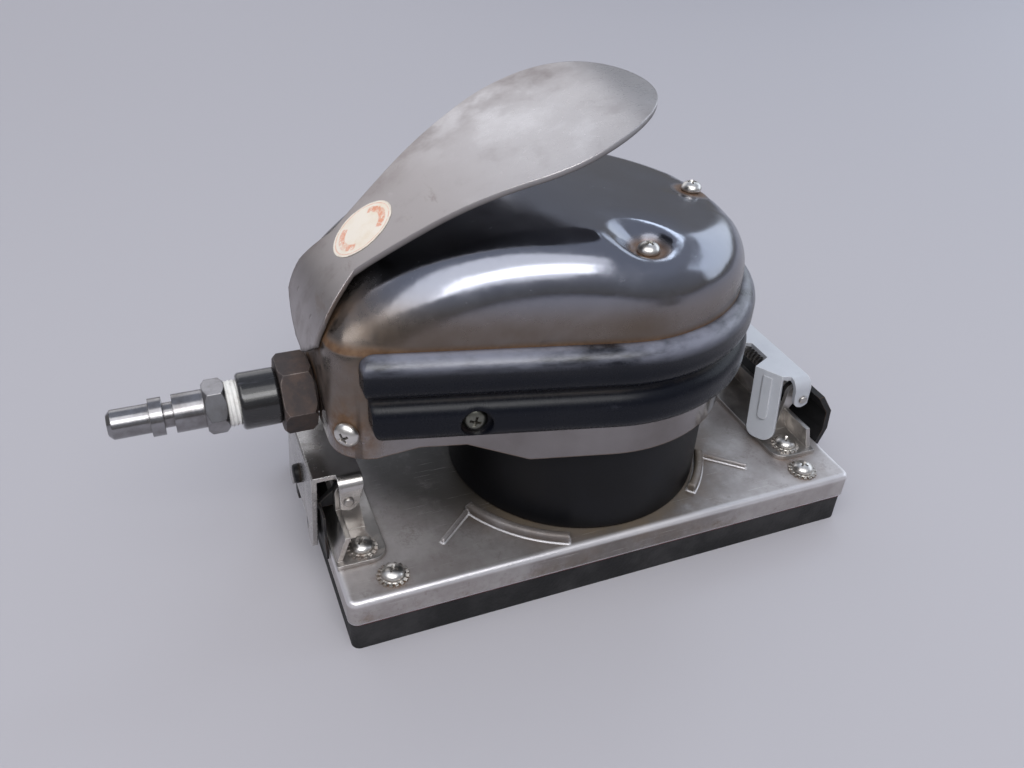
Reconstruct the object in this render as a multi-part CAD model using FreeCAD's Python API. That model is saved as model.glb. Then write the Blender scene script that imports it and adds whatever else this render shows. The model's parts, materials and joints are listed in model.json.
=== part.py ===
"""Air-powered orbital pad sander with a palm lever.

Frame: millimetres, +Z up, origin at the centre of the pad's underside, +X towards the round
front of the tool and -X towards the air inlet.
"""
import FreeCAD, Part
import math
import os

from FreeCAD import Vector

# ---------------------------------------------------------------- driving dimensions
# shoe and pad
SHOE_LENGTH = 179.2
SHOE_WIDTH = 95.0
SHOE_THICKNESS = 9.0
SHOE_CORNER_R = 3.0
SHOE_EDGE_R = 1.5
PAD_INSET = 0.6
PAD_THICKNESS = 10.4
BACKING_THICKNESS = 0.7
RIB_WIDTH = 1.3
RIB_HEIGHT = 1.6
RING_WIDTH = 2.8
RING_HEIGHT = 3.2
RING_CROWN_R = 1.2
HUB_WALL = 4.5
HUB_HEIGHT = 13.4
SNAP_RING_THICKNESS = 1.1

# orbit and motor
ORBIT = 2.4
ORBIT_GAP = 0.65
SHAFT_R = 5.0
SHAFT_TOP_R = 4.0
ROTOR_BORE_R = 6.0
ROTOR_GAP = 0.1
LINER_BORE_R = 21.0
LINER_OFFSET = 2.5
LINER_WALL = 4.0
VANE_COUNT = 4
VANE_THICKNESS = 2.0
VANE_DEPTH = 8.0
BEARING_OUTER_R = 13.0
BEARING_WIDTH = 8.0
TOP_BEARING_OUTER_R = 11.0
TOP_BEARING_WIDTH = 7.0
RUNNING_FIT = 0.03
FLANGE_RISE = 35.9
FLANGE_THICKNESS = 5.0
BARREL_WALL = 4.5
ROTOR_LENGTH = 28.0
LOWER_PLATE_THICKNESS = 10.0
CAP_THICKNESS = 3.0
COUNTERWEIGHT_R = 33.0
COUNTERWEIGHT_HEIGHT = 14.0
BLOCK_HEIGHT = 21.0

# skirt
SKIRT_INSET = 3.85
SKIRT_WALL = 2.35
SKIRT_GAP = 0.6

# shroud
SHROUD_FRONT_R = 47.2
SHROUD_REAR_X = -86.0
SHROUD_REAR_R = 12.0
SHROUD_REAR_HALF = 18.2
SHROUD_WALL = 1.4
SHOULDER_FRONT_R = 16.0
SHOULDER_REAR_R = 11.0
ROOF_HUMP_RISE = 64.5
ROOF_FRONT_DROP = 8.2
ROOF_WAIST_DROP = 10.7
ROOF_DOME_DROP = 3.0
ROOF_REAR_DROP = 29.5
ROOF_DOME_SETBACK = 41.2
LIP_FRONT_DROP = 1.8
LIP_WAIST_RISE = 5.2
LIP_REAR_RISE = 2.0
DOME_SCREW_INSET = 13.6
DIMPLE_DROP = 7.1
DIMPLE_FLOOR_R = 4.8
DIMPLE_SLOPE = 1.1
DIMPLE_FOOT_R = 2.0
DIMPLE_RIM_R = 3.5
SIDE_SCREW_DEG = 228.0
SIDE_SCREW_RISE = 10.6

# bumper guard
BUMPER_DEPTH = 5.2
BUMPER_RIB_HEIGHT = 13.2
BUMPER_RISE = 10.0
BUMPER_GROOVE = 1.0
BUMPER_WEB = 1.8
BUMPER_END_R = 4.2
BUMPER_TOE_R = 6.2
BUMPER_END_SETBACK = 7.5
BUMPER_TOE_SETBACK = 9.3
BUMPER_SCREW_SETBACK = 38.0

# throttle lever
LEVER_THICKNESS = 1.5
LEVER_SPOON_SETBACK = 68.0
LEVER_SPOON_R = 32.0
LEVER_NECK_HALF = 12.3
LEVER_SHOULDER_HALF = 17.5
LEVER_TAIL_HALF = 5.0
LEVER_EAR_HALF = 9.0
LEVER_PIVOT_SETBACK = 6.5
LEVER_PIVOT_RISE = 34.0
LEVER_PIN_R = 2.0
LEVER_EYE_R = 4.0
LUG_HALF = 6.5
STEM_SETBACK = 20.0
STEM_R = 2.5
STEM_TIP_R = 1.2
STEM_GUIDE_R = 6.0
STEM_GUIDE_RISE = 44.0
STEM_CAVITY_R = 4.4
STEM_CAVITY_DEPTH = 17.0
STEM_GAP = 0.3
LEVER_TAIL_DROP = 9.0
LABEL_LENGTH = 20.6
LABEL_WIDTH = 16.0
LABEL_THICKNESS = 0.25

# air inlet
INLET_RISE = 8.5
BUSHING_FLATS = 21.0
BUSHING_LENGTH = 9.5
BUSHING_SHANK_R = 7.0
COUPLING_R = 8.5
COUPLING_LENGTH = 11.6
THREAD_R = 6.5
TAPE_THICKNESS = 0.4
TAPE_LENGTH = 3.4
PLUG_HEX_FLATS = 14.0
PLUG_HEX_LENGTH = 6.2
PLUG_BODY_R = 5.65
PLUG_BODY_LENGTH = 8.4
PLUG_NECK_R = 3.65
PLUG_NECK_LENGTH = 2.8
PLUG_COLLAR_R = 5.55
PLUG_COLLAR_LENGTH = 3.6
PLUG_NOSE_R = 4.3
PLUG_NOSE_LENGTH = 11.4
AIR_BORE_R = 2.8

# paper clamps (distances from the shoe's centre along X, the same at both ends)
CLAMP_PIN_INSET = 7.2
CLAMP_PIN_RISE = 17.1
CLAMP_PIN_R = 1.5
EYE_R = 3.4
CLAMP_HALF = 22.6
CLAMP_BEND_R = 4.0
CLAMP_SHEET = 1.6
CLAMP_BAR_RISE = 8.0
BRACKET_INSET = 14.5
BRACKET_DEPTH = 16.0
FRONT_BRACKET_SETBACK = 5.4
REAR_BRACKET_SETBACK = 0.3
BRACKET_LEAN = 3.4
BRACKET_SHEET = 1.6
BRACKET_EAR_HALF = 18.4
BRACKET_WALL_HEIGHT = 10.9
FRONT_LEG_DROP = 14.4
LEG_END_R = 4.0
LEG_RIB_WIDTH = 3.4
LEG_RIB_HEIGHT = 0.7
LEG_RIB_SHARE = 0.62
REAR_LEG_DROP = 19.7
REAR_LEG_WIDTH = 6.4
REAR_APRON_RISE = 6.5
FRONT_JAW_HALF = 26.0
REAR_JAW_HALF = 23.5
PIVOT_CLEARANCE = 0.05
CLEARANCE = 0.3

# fasteners
SCREW_HEAD_R = 3.7
SCREW_HEAD_HEIGHT = 2.2
SCREW_SHANK_R = 2.0
CROSS_WIDTH = 1.0
CROSS_DEPTH = 1.5
BRACKET_SCREW_INSET = 8.9
BRACKET_SCREW_EDGE = 5.6
SHOE_SCREW_INSET = 15.4
SHOE_SCREW_EDGE = 7.6
WASHER_R = 4.9
WASHER_THICKNESS = 0.7

# ---------------------------------------------------------------- derived levels
BACKING_Z = PAD_THICKNESS
SHOE_Z = BACKING_Z + BACKING_THICKNESS
SHOE_TOP = SHOE_Z + SHOE_THICKNESS
HUB_R = BEARING_OUTER_R + HUB_WALL
ROTOR_R = LINER_BORE_R - LINER_OFFSET - ROTOR_GAP
LINER_R = LINER_BORE_R + LINER_WALL
BARREL_R = LINER_R + BARREL_WALL
SKIRT_R = SHROUD_FRONT_R - SKIRT_INSET
MOTOR_X = ORBIT
FLANGE_Z = SHOE_TOP + FLANGE_RISE
ROOF_HUMP_Z = FLANGE_Z + ROOF_HUMP_RISE
ROOF_FRONT_Z = ROOF_HUMP_Z - ROOF_FRONT_DROP
ROOF_WAIST_Z = ROOF_HUMP_Z - ROOF_WAIST_DROP
ROOF_DOME_Z = ROOF_HUMP_Z - ROOF_DOME_DROP
ROOF_REAR_Z = ROOF_HUMP_Z - ROOF_REAR_DROP
LIP_FRONT_Z = FLANGE_Z - LIP_FRONT_DROP
LIP_WAIST_Z = FLANGE_Z + LIP_WAIST_RISE
LIP_REAR_Z = FLANGE_Z + LIP_REAR_RISE
DOME_SCREW_RADIUS = SHROUD_FRONT_R - DOME_SCREW_INSET
DIMPLE_FLOOR_Z = ROOF_HUMP_Z - DIMPLE_DROP
SIDE_SCREW_Z = FLANGE_Z + SIDE_SCREW_RISE
BUMPER_BASE_Z = FLANGE_Z + BUMPER_RISE
BUMPER_END_X = SHROUD_REAR_X + BUMPER_END_SETBACK
BUMPER_TOE_X = SHROUD_REAR_X + BUMPER_TOE_SETBACK
BUMPER_SCREW_X = SHROUD_REAR_X + BUMPER_SCREW_SETBACK
LEVER_SPOON_X = SHROUD_REAR_X + LEVER_SPOON_SETBACK
LEVER_PIVOT_X = SHROUD_REAR_X + LEVER_PIVOT_SETBACK
LEVER_PIVOT_Z = FLANGE_Z + LEVER_PIVOT_RISE
LEVER_END_Z = LEVER_PIVOT_Z - LEVER_TAIL_DROP
STEM_X = SHROUD_REAR_X + STEM_SETBACK
STEM_GUIDE_TOP = FLANGE_Z + STEM_GUIDE_RISE
INLET_Z = FLANGE_Z + INLET_RISE
CLAMP_PIN_X = SHOE_LENGTH / 2 - CLAMP_PIN_INSET
FRONT_BRACKET_X = SHOE_LENGTH / 2 - FRONT_BRACKET_SETBACK
REAR_BRACKET_X = SHOE_LENGTH / 2 - REAR_BRACKET_SETBACK
CLAMP_PIN_Z = SHOE_TOP + CLAMP_PIN_RISE
CLAMP_BAR_Z = CLAMP_PIN_Z + CLAMP_BAR_RISE
BRACKET_HALF = SHOE_WIDTH / 2 - BRACKET_INSET
BRACKET_WALL_Z = SHOE_TOP + BRACKET_WALL_HEIGHT
CLAMP_LEG_Z = CLAMP_PIN_Z - FRONT_LEG_DROP
REAR_LEG_Z = CLAMP_PIN_Z - REAR_LEG_DROP
BRACKET_SCREW_Y = BRACKET_HALF - BRACKET_SCREW_EDGE
SHOE_SCREW_X = SHOE_LENGTH / 2 - SHOE_SCREW_INSET
SHOE_SCREW_Y = SHOE_WIDTH / 2 - SHOE_SCREW_EDGE
RING_INNER_R = SKIRT_R + ORBIT + ORBIT_GAP
SKIRT_FOOT_Z = SHOE_TOP + SKIRT_GAP
FLANGE_TOP = FLANGE_Z + FLANGE_THICKNESS
FLANGE_R = SKIRT_R - SKIRT_WALL
ROTOR_Z = FLANGE_Z + LOWER_PLATE_THICKNESS
ROTOR_TOP = ROTOR_Z + ROTOR_LENGTH
TOP_PLATE_TOP = ROTOR_TOP + TOP_BEARING_WIDTH
HOUSING_TOP = TOP_PLATE_TOP + CAP_THICKNESS
SHROUD_REAR_CX = SHROUD_REAR_X + SHROUD_REAR_R
BOSS_TOP = DIMPLE_FLOOR_Z - SHROUD_WALL
BUMPER_TOP = BUMPER_BASE_Z + 2 * BUMPER_RIB_HEIGHT + BUMPER_GROOVE
BLOCK_REAR_X = SHROUD_REAR_X + SHROUD_WALL + CLEARANCE
BLOCK_HALF = 12.5
BLOCK_TOP = FLANGE_Z + BLOCK_HEIGHT
STEM_CAVITY_Z = BLOCK_TOP - STEM_CAVITY_DEPTH
BUSHING_X = SHROUD_REAR_X - 0.9
COUPLING_X = BUSHING_X - BUSHING_LENGTH
PLUG_HEX_X = COUPLING_X - COUPLING_LENGTH - TAPE_LENGTH
HUB_TOP = SHOE_TOP + HUB_HEIGHT
SHOE_BEARING_Z = SHOE_TOP + 3.6
STUB_TOP = HUB_TOP + 1.6
STEM_COLLAR_Z = BLOCK_TOP - 1.6
LUG_TOP = LEVER_PIVOT_Z + 4.0
JAW_FLAT_X = SHOE_LENGTH / 2 + CLEARANCE
WEIGHT_Z = STUB_TOP
WEIGHT_TOP = WEIGHT_Z + COUNTERWEIGHT_HEIGHT

X_AXIS = Vector(1, 0, 0)
Y_AXIS = Vector(0, 1, 0)
Z_AXIS = Vector(0, 0, 1)


# ---------------------------------------------------------------- shape helpers
def box(x0, x1, y0, y1, z0, z1):
    return Part.makeBox(x1 - x0, y1 - y0, z1 - z0, Vector(x0, y0, z0))


def rod(radius, start, length, axis=Z_AXIS):
    return Part.makeCylinder(radius, length, Vector(*start), axis)


def tube(outer, inner, start, length, axis=Z_AXIS):
    return rod(outer, start, length, axis).cut(rod(inner, start, length, axis))


def sheet_from(points, thrust):
    """Solid swept from a closed polygon of 3-D points along one vector."""
    corners = [Vector(*p) for p in points]
    return Part.Face(Part.makePolygon(corners + corners[:1])).extrude(Vector(*thrust))


def prism_y(points, half):
    """Solid with an X-Z outline, symmetric about the Y = 0 plane."""
    return sheet_from([(x, -half, z) for x, z in points], (0, 2 * half, 0))


def prism_z(points, z0, z1):
    return sheet_from([(x, y, z0) for x, y in points], (0, 0, z1 - z0))


def fuse(first, *others):
    return first.multiFuse(list(others)).removeSplitter()


def cut(solid, *tools):
    for tool in tools:
        solid = solid.cut(tool)
    return solid


def mirror_y(shape):
    return shape.mirror(Vector(0, 0, 0), Y_AXIS)


def mirror_x(shape):
    return shape.mirror(Vector(0, 0, 0), X_AXIS)


def both_sides(shape):
    return [shape, mirror_y(shape)]


def hexagon(flats, start, length):
    """Hexagonal bar along +X with flats facing up and down."""
    radius = flats / math.sqrt(3.0)
    x, y, z = start
    turns = [math.radians(60 * i) for i in range(6)]
    corners = [(x, y + radius * math.cos(t), z + radius * math.sin(t)) for t in turns]
    bar = sheet_from(corners, (length, 0, 0))
    chamfer = Part.makeCone(radius - 1.2, radius + length, length + 1.2, Vector(x, y, z), X_AXIS)
    other = Part.makeCone(radius + length, radius - 1.2, length + 1.2, Vector(x - 1.2, y, z), X_AXIS)
    return bar.common(chamfer).common(other)


def ring_sector(inner, outer, z0, height, start_deg, sweep_deg):
    corners = [(inner, 0, z0), (outer, 0, z0), (outer, 0, z0 + height), (inner, 0, z0 + height)]
    face = Part.Face(Part.makePolygon([Vector(*p) for p in corners + corners[:1]]))
    sector = face.revolve(Vector(0, 0, 0), Z_AXIS, sweep_deg)
    return turned(sector, start_deg)


def edges_at_height(shape, z):
    return [e for e in shape.Edges if min(v.Z for v in e.Vertexes) > z - 0.01]


def turned(shape, degrees):
    copy = shape.copy()
    copy.rotate(Vector(0, 0, 0), Z_AXIS, degrees)
    return copy


def spline(points):
    curve = Part.BSplineCurve()
    curve.interpolate([Vector(*p) for p in points])
    return curve.toShape()


def screw(seat, axis, shank, head_r=SCREW_HEAD_R, head_h=SCREW_HEAD_HEIGHT, shank_r=SCREW_SHANK_R):
    """Pan-head screw with a cross recess; the head's underside sits at `seat`, facing `axis`."""
    corners = [(0, -shank), (shank_r, -shank), (shank_r, 0), (head_r, 0), (head_r, 0.3 * head_h)]
    points = [Vector(x, 0, z) for x, z in corners]
    edges = [Part.LineSegment(p, q).toShape() for p, q in zip(points, points[1:])]
    crown = Vector(0, 0, head_h)
    middle = Vector(0.72 * head_r, 0, 0.78 * head_h)
    edges.append(Part.Arc(points[-1], middle, crown).toShape())
    edges.append(Part.LineSegment(crown, points[0]).toShape())
    body = Part.Face(Part.Wire(edges)).revolve(Vector(0, 0, 0), Z_AXIS, 360)
    reach = 0.55 * head_r
    low = head_h - CROSS_DEPTH
    slot = box(-reach, reach, -CROSS_WIDTH / 2, CROSS_WIDTH / 2, low, head_h + 1)
    body = cut(body, slot, turned(slot, 90))
    body.Placement = FreeCAD.Placement(Vector(*seat), FreeCAD.Rotation(Z_AXIS, Vector(*axis)))
    return body


def save(name, shape):
    shape.exportStep("parts/" + name + ".step")
    print(name, len(shape.Solids), round(shape.Volume, 1))


# ---------------------------------------------------------------- shoe and pad
def rib(start, end):
    """Low straight rib on the shoe's top, between two plan points."""
    (x0, y0), (x1, y1) = start, end
    length = math.hypot(x1 - x0, y1 - y0)
    bar = box(0, length, -RIB_WIDTH / 2, RIB_WIDTH / 2, SHOE_TOP - 0.5, SHOE_TOP + RIB_HEIGHT)
    bar = bar.makeFillet(0.4 * RIB_WIDTH, edges_at_height(bar, SHOE_TOP + RIB_HEIGHT))
    bar = turned(bar, math.degrees(math.atan2(y1 - y0, x1 - x0)))
    bar.translate(Vector(x0, y0, 0))
    return bar


def shoe_ribs():
    start = (RING_INNER_R * 0.9, RING_INNER_R * 0.42)
    end = (0.313 * SHOE_LENGTH, 0.337 * SHOE_WIDTH)
    near = rib(start, end)
    pair = [near, mirror_y(near)]
    return pair + [mirror_x(one) for one in pair]


def shoe_ring():
    """Round-topped arcs that keep the skirt's foot in its orbit, each starting at a rib."""
    outer, top = RING_INNER_R + RING_WIDTH, SHOE_TOP + RING_HEIGHT
    arcs = [(25, 25), (112, 43), (205, 43), (310, 25)]
    beads = [ring_sector(RING_INNER_R, outer, SHOE_TOP - 0.5, RING_HEIGHT + 0.5, a, b) for a, b in arcs]
    on_shoe = box(-SHOE_LENGTH / 2, SHOE_LENGTH / 2, 1 - SHOE_WIDTH / 2, SHOE_WIDTH / 2 - 1, SHOE_Z, top + 1)
    return [bead.makeFillet(RING_CROWN_R, edges_at_height(bead, top)).common(on_shoe) for bead in beads]


def shoe_plate():
    half_l, half_w = SHOE_LENGTH / 2, SHOE_WIDTH / 2
    plate = box(-half_l, half_l, -half_w, half_w, SHOE_Z, SHOE_TOP)
    corners = [e for e in plate.Edges if abs(e.Vertexes[0].Z - e.Vertexes[1].Z) > 1]
    plate = plate.makeFillet(SHOE_CORNER_R, corners)
    plate = plate.makeFillet(SHOE_EDGE_R, edges_at_height(plate, SHOE_TOP))
    hub = Part.makeCone(HUB_R + 4, HUB_R, HUB_HEIGHT / 2, Vector(0, 0, SHOE_TOP))
    hub = hub.fuse(rod(HUB_R, (0, 0, SHOE_TOP), HUB_HEIGHT))
    plate = fuse(plate, hub, *(shoe_ribs() + shoe_ring()))
    bearing_top = SHOE_BEARING_Z + BEARING_WIDTH
    bores = [rod(BEARING_OUTER_R, (0, 0, SHOE_BEARING_Z), HUB_TOP - SHOE_BEARING_Z),
             rod(BEARING_OUTER_R - 3, (0, 0, SHOE_BEARING_Z - 2.5), 4),
             rod(BEARING_OUTER_R + 0.7, (0, 0, bearing_top), SNAP_RING_THICKNESS)]
    screws = shoe_screw_places() + bracket_screw_places()
    bores += [rod(SCREW_SHANK_R, (x, y, SHOE_Z + 2), 20) for x, y in screws]
    return cut(plate, *bores)


def flat_layer(inset, z0, z1):
    half_l, half_w = SHOE_LENGTH / 2 - inset, SHOE_WIDTH / 2 - inset
    layer = box(-half_l, half_l, -half_w, half_w, z0, z1)
    corners = [e for e in layer.Edges if abs(e.Vertexes[0].Z - e.Vertexes[1].Z) > 0.1]
    return layer.makeFillet(SHOE_CORNER_R - inset / 2, corners)


def rubber_skirt():
    return tube(SKIRT_R, FLANGE_R, (MOTOR_X, 0, SKIRT_FOOT_Z), FLANGE_TOP - SKIRT_FOOT_Z)


def bearing(outer, inner, x, z0, width):
    ring = tube(outer, inner + RUNNING_FIT, (x, 0, z0), width)
    middle = (outer + inner) / 2
    for level in (z0 - 0.1, z0 + width - 0.5):
        ring = ring.cut(tube(middle + 2, middle - 2, (x, 0, level), 0.6))
    return ring


def bearing_retainer():
    z0 = SHOE_BEARING_Z + BEARING_WIDTH
    ring = tube(BEARING_OUTER_R + 0.6, BEARING_OUTER_R - 1.8, (0, 0, z0), SNAP_RING_THICKNESS)
    return ring.cut(box(0, 20, -4, 4, z0 - 1, z0 + 3))


# ---------------------------------------------------------------- vane motor
def cylinder_liner():
    liner = rod(LINER_R, (MOTOR_X, 0, ROTOR_Z), ROTOR_LENGTH)
    return liner.cut(rod(LINER_BORE_R, (MOTOR_X + LINER_OFFSET, 0, ROTOR_Z), ROTOR_LENGTH))


def end_plate_lower():
    plate = rod(LINER_R, (MOTOR_X, 0, FLANGE_Z), LOWER_PLATE_THICKNESS)
    pocket = rod(BEARING_OUTER_R, (MOTOR_X, 0, ROTOR_Z - BEARING_WIDTH), BEARING_WIDTH)
    return cut(plate, pocket, rod(SHAFT_R + 3, (MOTOR_X, 0, FLANGE_Z), LOWER_PLATE_THICKNESS))


def end_plate_upper():
    return tube(LINER_R, TOP_BEARING_OUTER_R, (MOTOR_X, 0, ROTOR_TOP), TOP_BEARING_WIDTH)


def vane_box(radial_from, radial_to, thickness, z0, z1):
    return box(radial_from, radial_to, -thickness / 2, thickness / 2, z0, z1)


def vane_places():
    return [360.0 * i / VANE_COUNT + 45 for i in range(VANE_COUNT)]


def at_motor(shape):
    shape.translate(Vector(MOTOR_X, 0, 0))
    return shape


def rotor():
    z0, z1 = ROTOR_Z + 0.1, ROTOR_TOP - 0.1
    body = tube(ROTOR_R, ROTOR_BORE_R, (0, 0, z0), z1 - z0)
    slot = vane_box(ROTOR_R - VANE_DEPTH - 0.3, ROTOR_R + 1, VANE_THICKNESS + 0.06, z0, z1)
    return at_motor(cut(body, *[turned(slot, a) for a in vane_places()]))


def rotor_vanes():
    inner, outer = ROTOR_R - VANE_DEPTH, ROTOR_R - 0.1
    vane = vane_box(inner, outer, VANE_THICKNESS, ROTOR_Z + 0.1, ROTOR_TOP - 0.1)
    return at_motor(Part.makeCompound([turned(vane, a) for a in vane_places()]))


def eccentric_shaft():
    """Motor shaft with the counterweight opposite the eccentric stub that drives the shoe."""
    top = rod(SHAFT_TOP_R, (0, 0, ROTOR_TOP - 0.1), TOP_BEARING_WIDTH - 0.4)
    seat = rod(ROTOR_BORE_R, (0, 0, ROTOR_Z + 0.1), ROTOR_LENGTH - 0.2)
    neck = rod(SHAFT_R, (0, 0, WEIGHT_TOP), ROTOR_Z + 0.1 - WEIGHT_TOP)
    disc = rod(SHAFT_R + 8, (0, 0, WEIGHT_Z), COUNTERWEIGHT_HEIGHT)
    weight = ring_sector(SHAFT_R, COUNTERWEIGHT_R, WEIGHT_Z, COUNTERWEIGHT_HEIGHT, -75, 150)
    stub = rod(SHAFT_R, (-ORBIT, 0, SHOE_BEARING_Z - 1), WEIGHT_Z - SHOE_BEARING_Z + 1)
    return at_motor(fuse(disc, weight, neck, seat, top, stub))


# ---------------------------------------------------------------- shroud plan
def plan_slope():
    """Angle by which each side wall leans in towards the rear."""
    dx, dy = MOTOR_X - SHROUD_REAR_CX, SHROUD_REAR_HALF
    return math.asin((SHROUD_FRONT_R - SHROUD_REAR_R) / math.hypot(dx, dy)) - math.atan2(dy, dx)


def side_normal():
    """Outward normal of the near side wall."""
    return Vector(-math.sin(plan_slope()), -math.cos(plan_slope()), 0)


def side_point(x, offset, z):
    """Point of the near side wall, moved outwards by `offset`."""
    n = side_normal()
    start = Vector(MOTOR_X, 0, 0) + n * SHROUD_FRONT_R
    along = Vector(-n.y, n.x, 0)
    point = start + along * ((x - start.x) / along.x) + n * offset
    return Vector(point.x, point.y, z)


def plan_face(offset, z):
    """Teardrop outline of the shroud: round front, tapering sides, rounded rear corners."""
    n = side_normal()
    front, corner = SHROUD_FRONT_R + offset, SHROUD_REAR_R + offset
    centre = Vector(SHROUD_REAR_CX, -SHROUD_REAR_HALF, z)
    t0 = Vector(MOTOR_X, 0, z) + n * front
    t1 = centre + n * corner
    bisector = (n + Vector(-1, 0, 0)).normalize()
    t2 = centre + bisector * corner
    t3 = centre + Vector(-corner, 0, 0)
    nose = Vector(MOTOR_X + front, 0, z)
    far = [Vector(p.x, -p.y, z) for p in (t0, t1, t2, t3)]
    curves = [Part.Arc(t0, nose, far[0]), Part.LineSegment(far[0], far[1]),
              Part.Arc(far[1], far[2], far[3]), Part.LineSegment(far[3], t3),
              Part.Arc(t3, t2, t1), Part.LineSegment(t1, t0)]
    return Part.Face(Part.Wire([c.toShape() for c in curves]))


def plan_solid(offset, z0, z1):
    return plan_face(offset, z0).extrude(Vector(0, 0, z1 - z0))


# ---------------------------------------------------------------- shroud
def roof_points(drop):
    nose_x = MOTOR_X + SHROUD_FRONT_R
    places = [(SHROUD_REAR_X - 4, ROOF_REAR_Z - 4), (SHROUD_REAR_X + 22, ROOF_WAIST_Z),
              (SHROUD_REAR_X + 54, ROOF_HUMP_Z), (nose_x - ROOF_DOME_SETBACK, ROOF_DOME_Z),
              (nose_x + 6, ROOF_FRONT_Z)]
    return [(x, z - drop) for x, z in places]


def under_roof(drop):
    """Everything below the roof line, drawn in the X-Z plane and swept across the tool."""
    half = SHROUD_FRONT_R + 10
    line = roof_points(drop)
    roof = spline([(x, -half, z) for x, z in line])
    base = LIP_FRONT_Z - 20
    corners = [Vector(line[-1][0], -half, line[-1][1]), Vector(line[-1][0], -half, base),
               Vector(line[0][0], -half, base), Vector(line[0][0], -half, line[0][1])]
    edges = [roof] + [Part.LineSegment(p, q).toShape() for p, q in zip(corners, corners[1:])]
    return Part.Face(Part.Wire(edges)).extrude(Vector(0, 2 * half, 0))


def dome_screw_places():
    return [(MOTOR_X, -DOME_SCREW_RADIUS), (MOTOR_X + DOME_SCREW_RADIUS, 0), (MOTOR_X, DOME_SCREW_RADIUS)]


def dimple(place, grow):
    """Bowl round a dome screw: flat floor, rounded foot, sloping wall."""
    radius = DIMPLE_FLOOR_R + grow * (math.hypot(1, DIMPLE_SLOPE) - DIMPLE_SLOPE)
    base = Vector(place[0], place[1], DIMPLE_FLOOR_Z - grow)
    bowl = Part.makeCone(radius, radius + DIMPLE_SLOPE * 12, 12, base)
    foot = [e for e in bowl.Edges if e.Closed and e.BoundBox.ZMax < base.z + 0.01]
    return bowl.makeFillet(DIMPLE_FOOT_R + grow, foot)


def scooped(body, grow):
    """Presses the three dimples into the roof and rolls their rims over."""
    body = cut(body, *[dimple(p, grow) for p in dome_screw_places()])
    walls = [f for f in body.Faces if isinstance(f.Surface, Part.Cone)]
    rims = [e for f in walls for e in f.Edges if not isinstance(e.Curve, (Part.Line, Part.Circle))]
    return body.makeFillet(DIMPLE_RIM_R - grow, rims)


def blend_edges(body, edges, radius_at):
    """Rolling-ball fillet whose radius at each edge end comes from `radius_at(x)`."""
    doc = FreeCAD.newDocument("blend")
    base = doc.addObject("Part::Feature", "base")
    base.Shape = body
    fillet = doc.addObject("Part::Fillet", "fillet")
    fillet.Base = base
    rows = []
    for number, edge in enumerate(body.Edges, 1):
        if any(edge.isSame(e) for e in edges):
            ends = [edge.valueAt(p).x for p in (edge.FirstParameter, edge.LastParameter)]
            rows.append((number, radius_at(ends[0]), radius_at(ends[1])))
    fillet.Edges = rows
    doc.recompute()
    result = fillet.Shape.copy()
    FreeCAD.closeDocument(doc.Name)
    return result


def shroud_body(inset):
    body = plan_solid(-inset, LIP_FRONT_Z - 10, ROOF_HUMP_Z + 10).common(under_roof(inset))
    roof = max(body.Faces, key=lambda f: f.CenterOfMass.z)
    middle_x = (SHROUD_REAR_X + MOTOR_X) / 2

    def shoulder(x):
        return (SHOULDER_FRONT_R if x > middle_x else SHOULDER_REAR_R) - inset

    return scooped(blend_edges(body, roof.Edges, shoulder), inset)


def below_lip():
    """Space under the shroud's lower edge: high at the waist, lower round the motor."""
    front_x = MOTOR_X + SHROUD_FRONT_R + 10
    outline = [(SHROUD_REAR_X - 5, LIP_REAR_Z), (SHROUD_REAR_X + 11, LIP_REAR_Z),
               (SHROUD_REAR_X + 23, LIP_WAIST_Z), (SHROUD_REAR_X + 36, LIP_WAIST_Z),
               (SHROUD_REAR_X + 54, LIP_FRONT_Z), (front_x, LIP_FRONT_Z)]
    base = LIP_FRONT_Z - 30
    return prism_y(outline + [(front_x, base), (SHROUD_REAR_X - 5, base)], SHROUD_FRONT_R + 10)


def side_screw_axis():
    turn = math.radians(SIDE_SCREW_DEG)
    return Vector(math.cos(turn), math.sin(turn), 0)


def side_screw_seat(offset):
    centre = Vector(SHROUD_REAR_CX, -SHROUD_REAR_HALF, SIDE_SCREW_Z)
    return centre + side_screw_axis() * (SHROUD_REAR_R + offset)


def shroud_cover(cavity):
    cover = shroud_body(0).cut(cavity).cut(below_lip())
    holes = [rod(SCREW_SHANK_R + 0.2, (x, y, BOSS_TOP - 1), 5) for x, y in dome_screw_places()]
    out = side_screw_axis()
    holes += both_sides(rod(SCREW_SHANK_R + 0.2, side_screw_seat(-6), 12, out))
    holes.append(rod(BUSHING_SHANK_R + 0.6, (SHROUD_REAR_X - 2, 0, INLET_Z), 8, X_AXIS))
    slot_half = LEVER_EAR_HALF + 0.6
    holes.append(box(SHROUD_REAR_X - 2, LEVER_PIVOT_X - 1, -slot_half, slot_half,
                     LEVER_PIVOT_Z - 5, LEVER_PIVOT_Z + 9))
    holes.append(rod(STEM_R + 0.9, (STEM_X, 0, ROOF_REAR_Z), 40))
    inner = bumper_screw_seat(-6)
    holes += both_sides(rod(1.6, inner, 12, side_normal()))
    return cut(cover, *holes)


# ---------------------------------------------------------------- bumper guard
def bumper_screw_seat(offset):
    return side_point(BUMPER_SCREW_X, offset, BUMPER_BASE_Z + 0.45 * BUMPER_RIB_HEIGHT)


def bumper_rib(z0):
    """Half-round rib that follows the shroud's outline."""
    rib_solid = plan_solid(BUMPER_DEPTH, z0, z0 + BUMPER_RIB_HEIGHT)
    rims = [e for e in rib_solid.Edges if abs(e.Vertexes[0].Z - e.Vertexes[-1].Z) < 0.01]
    return rib_solid.makeFillet(BUMPER_DEPTH - 0.3, rims)


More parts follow.
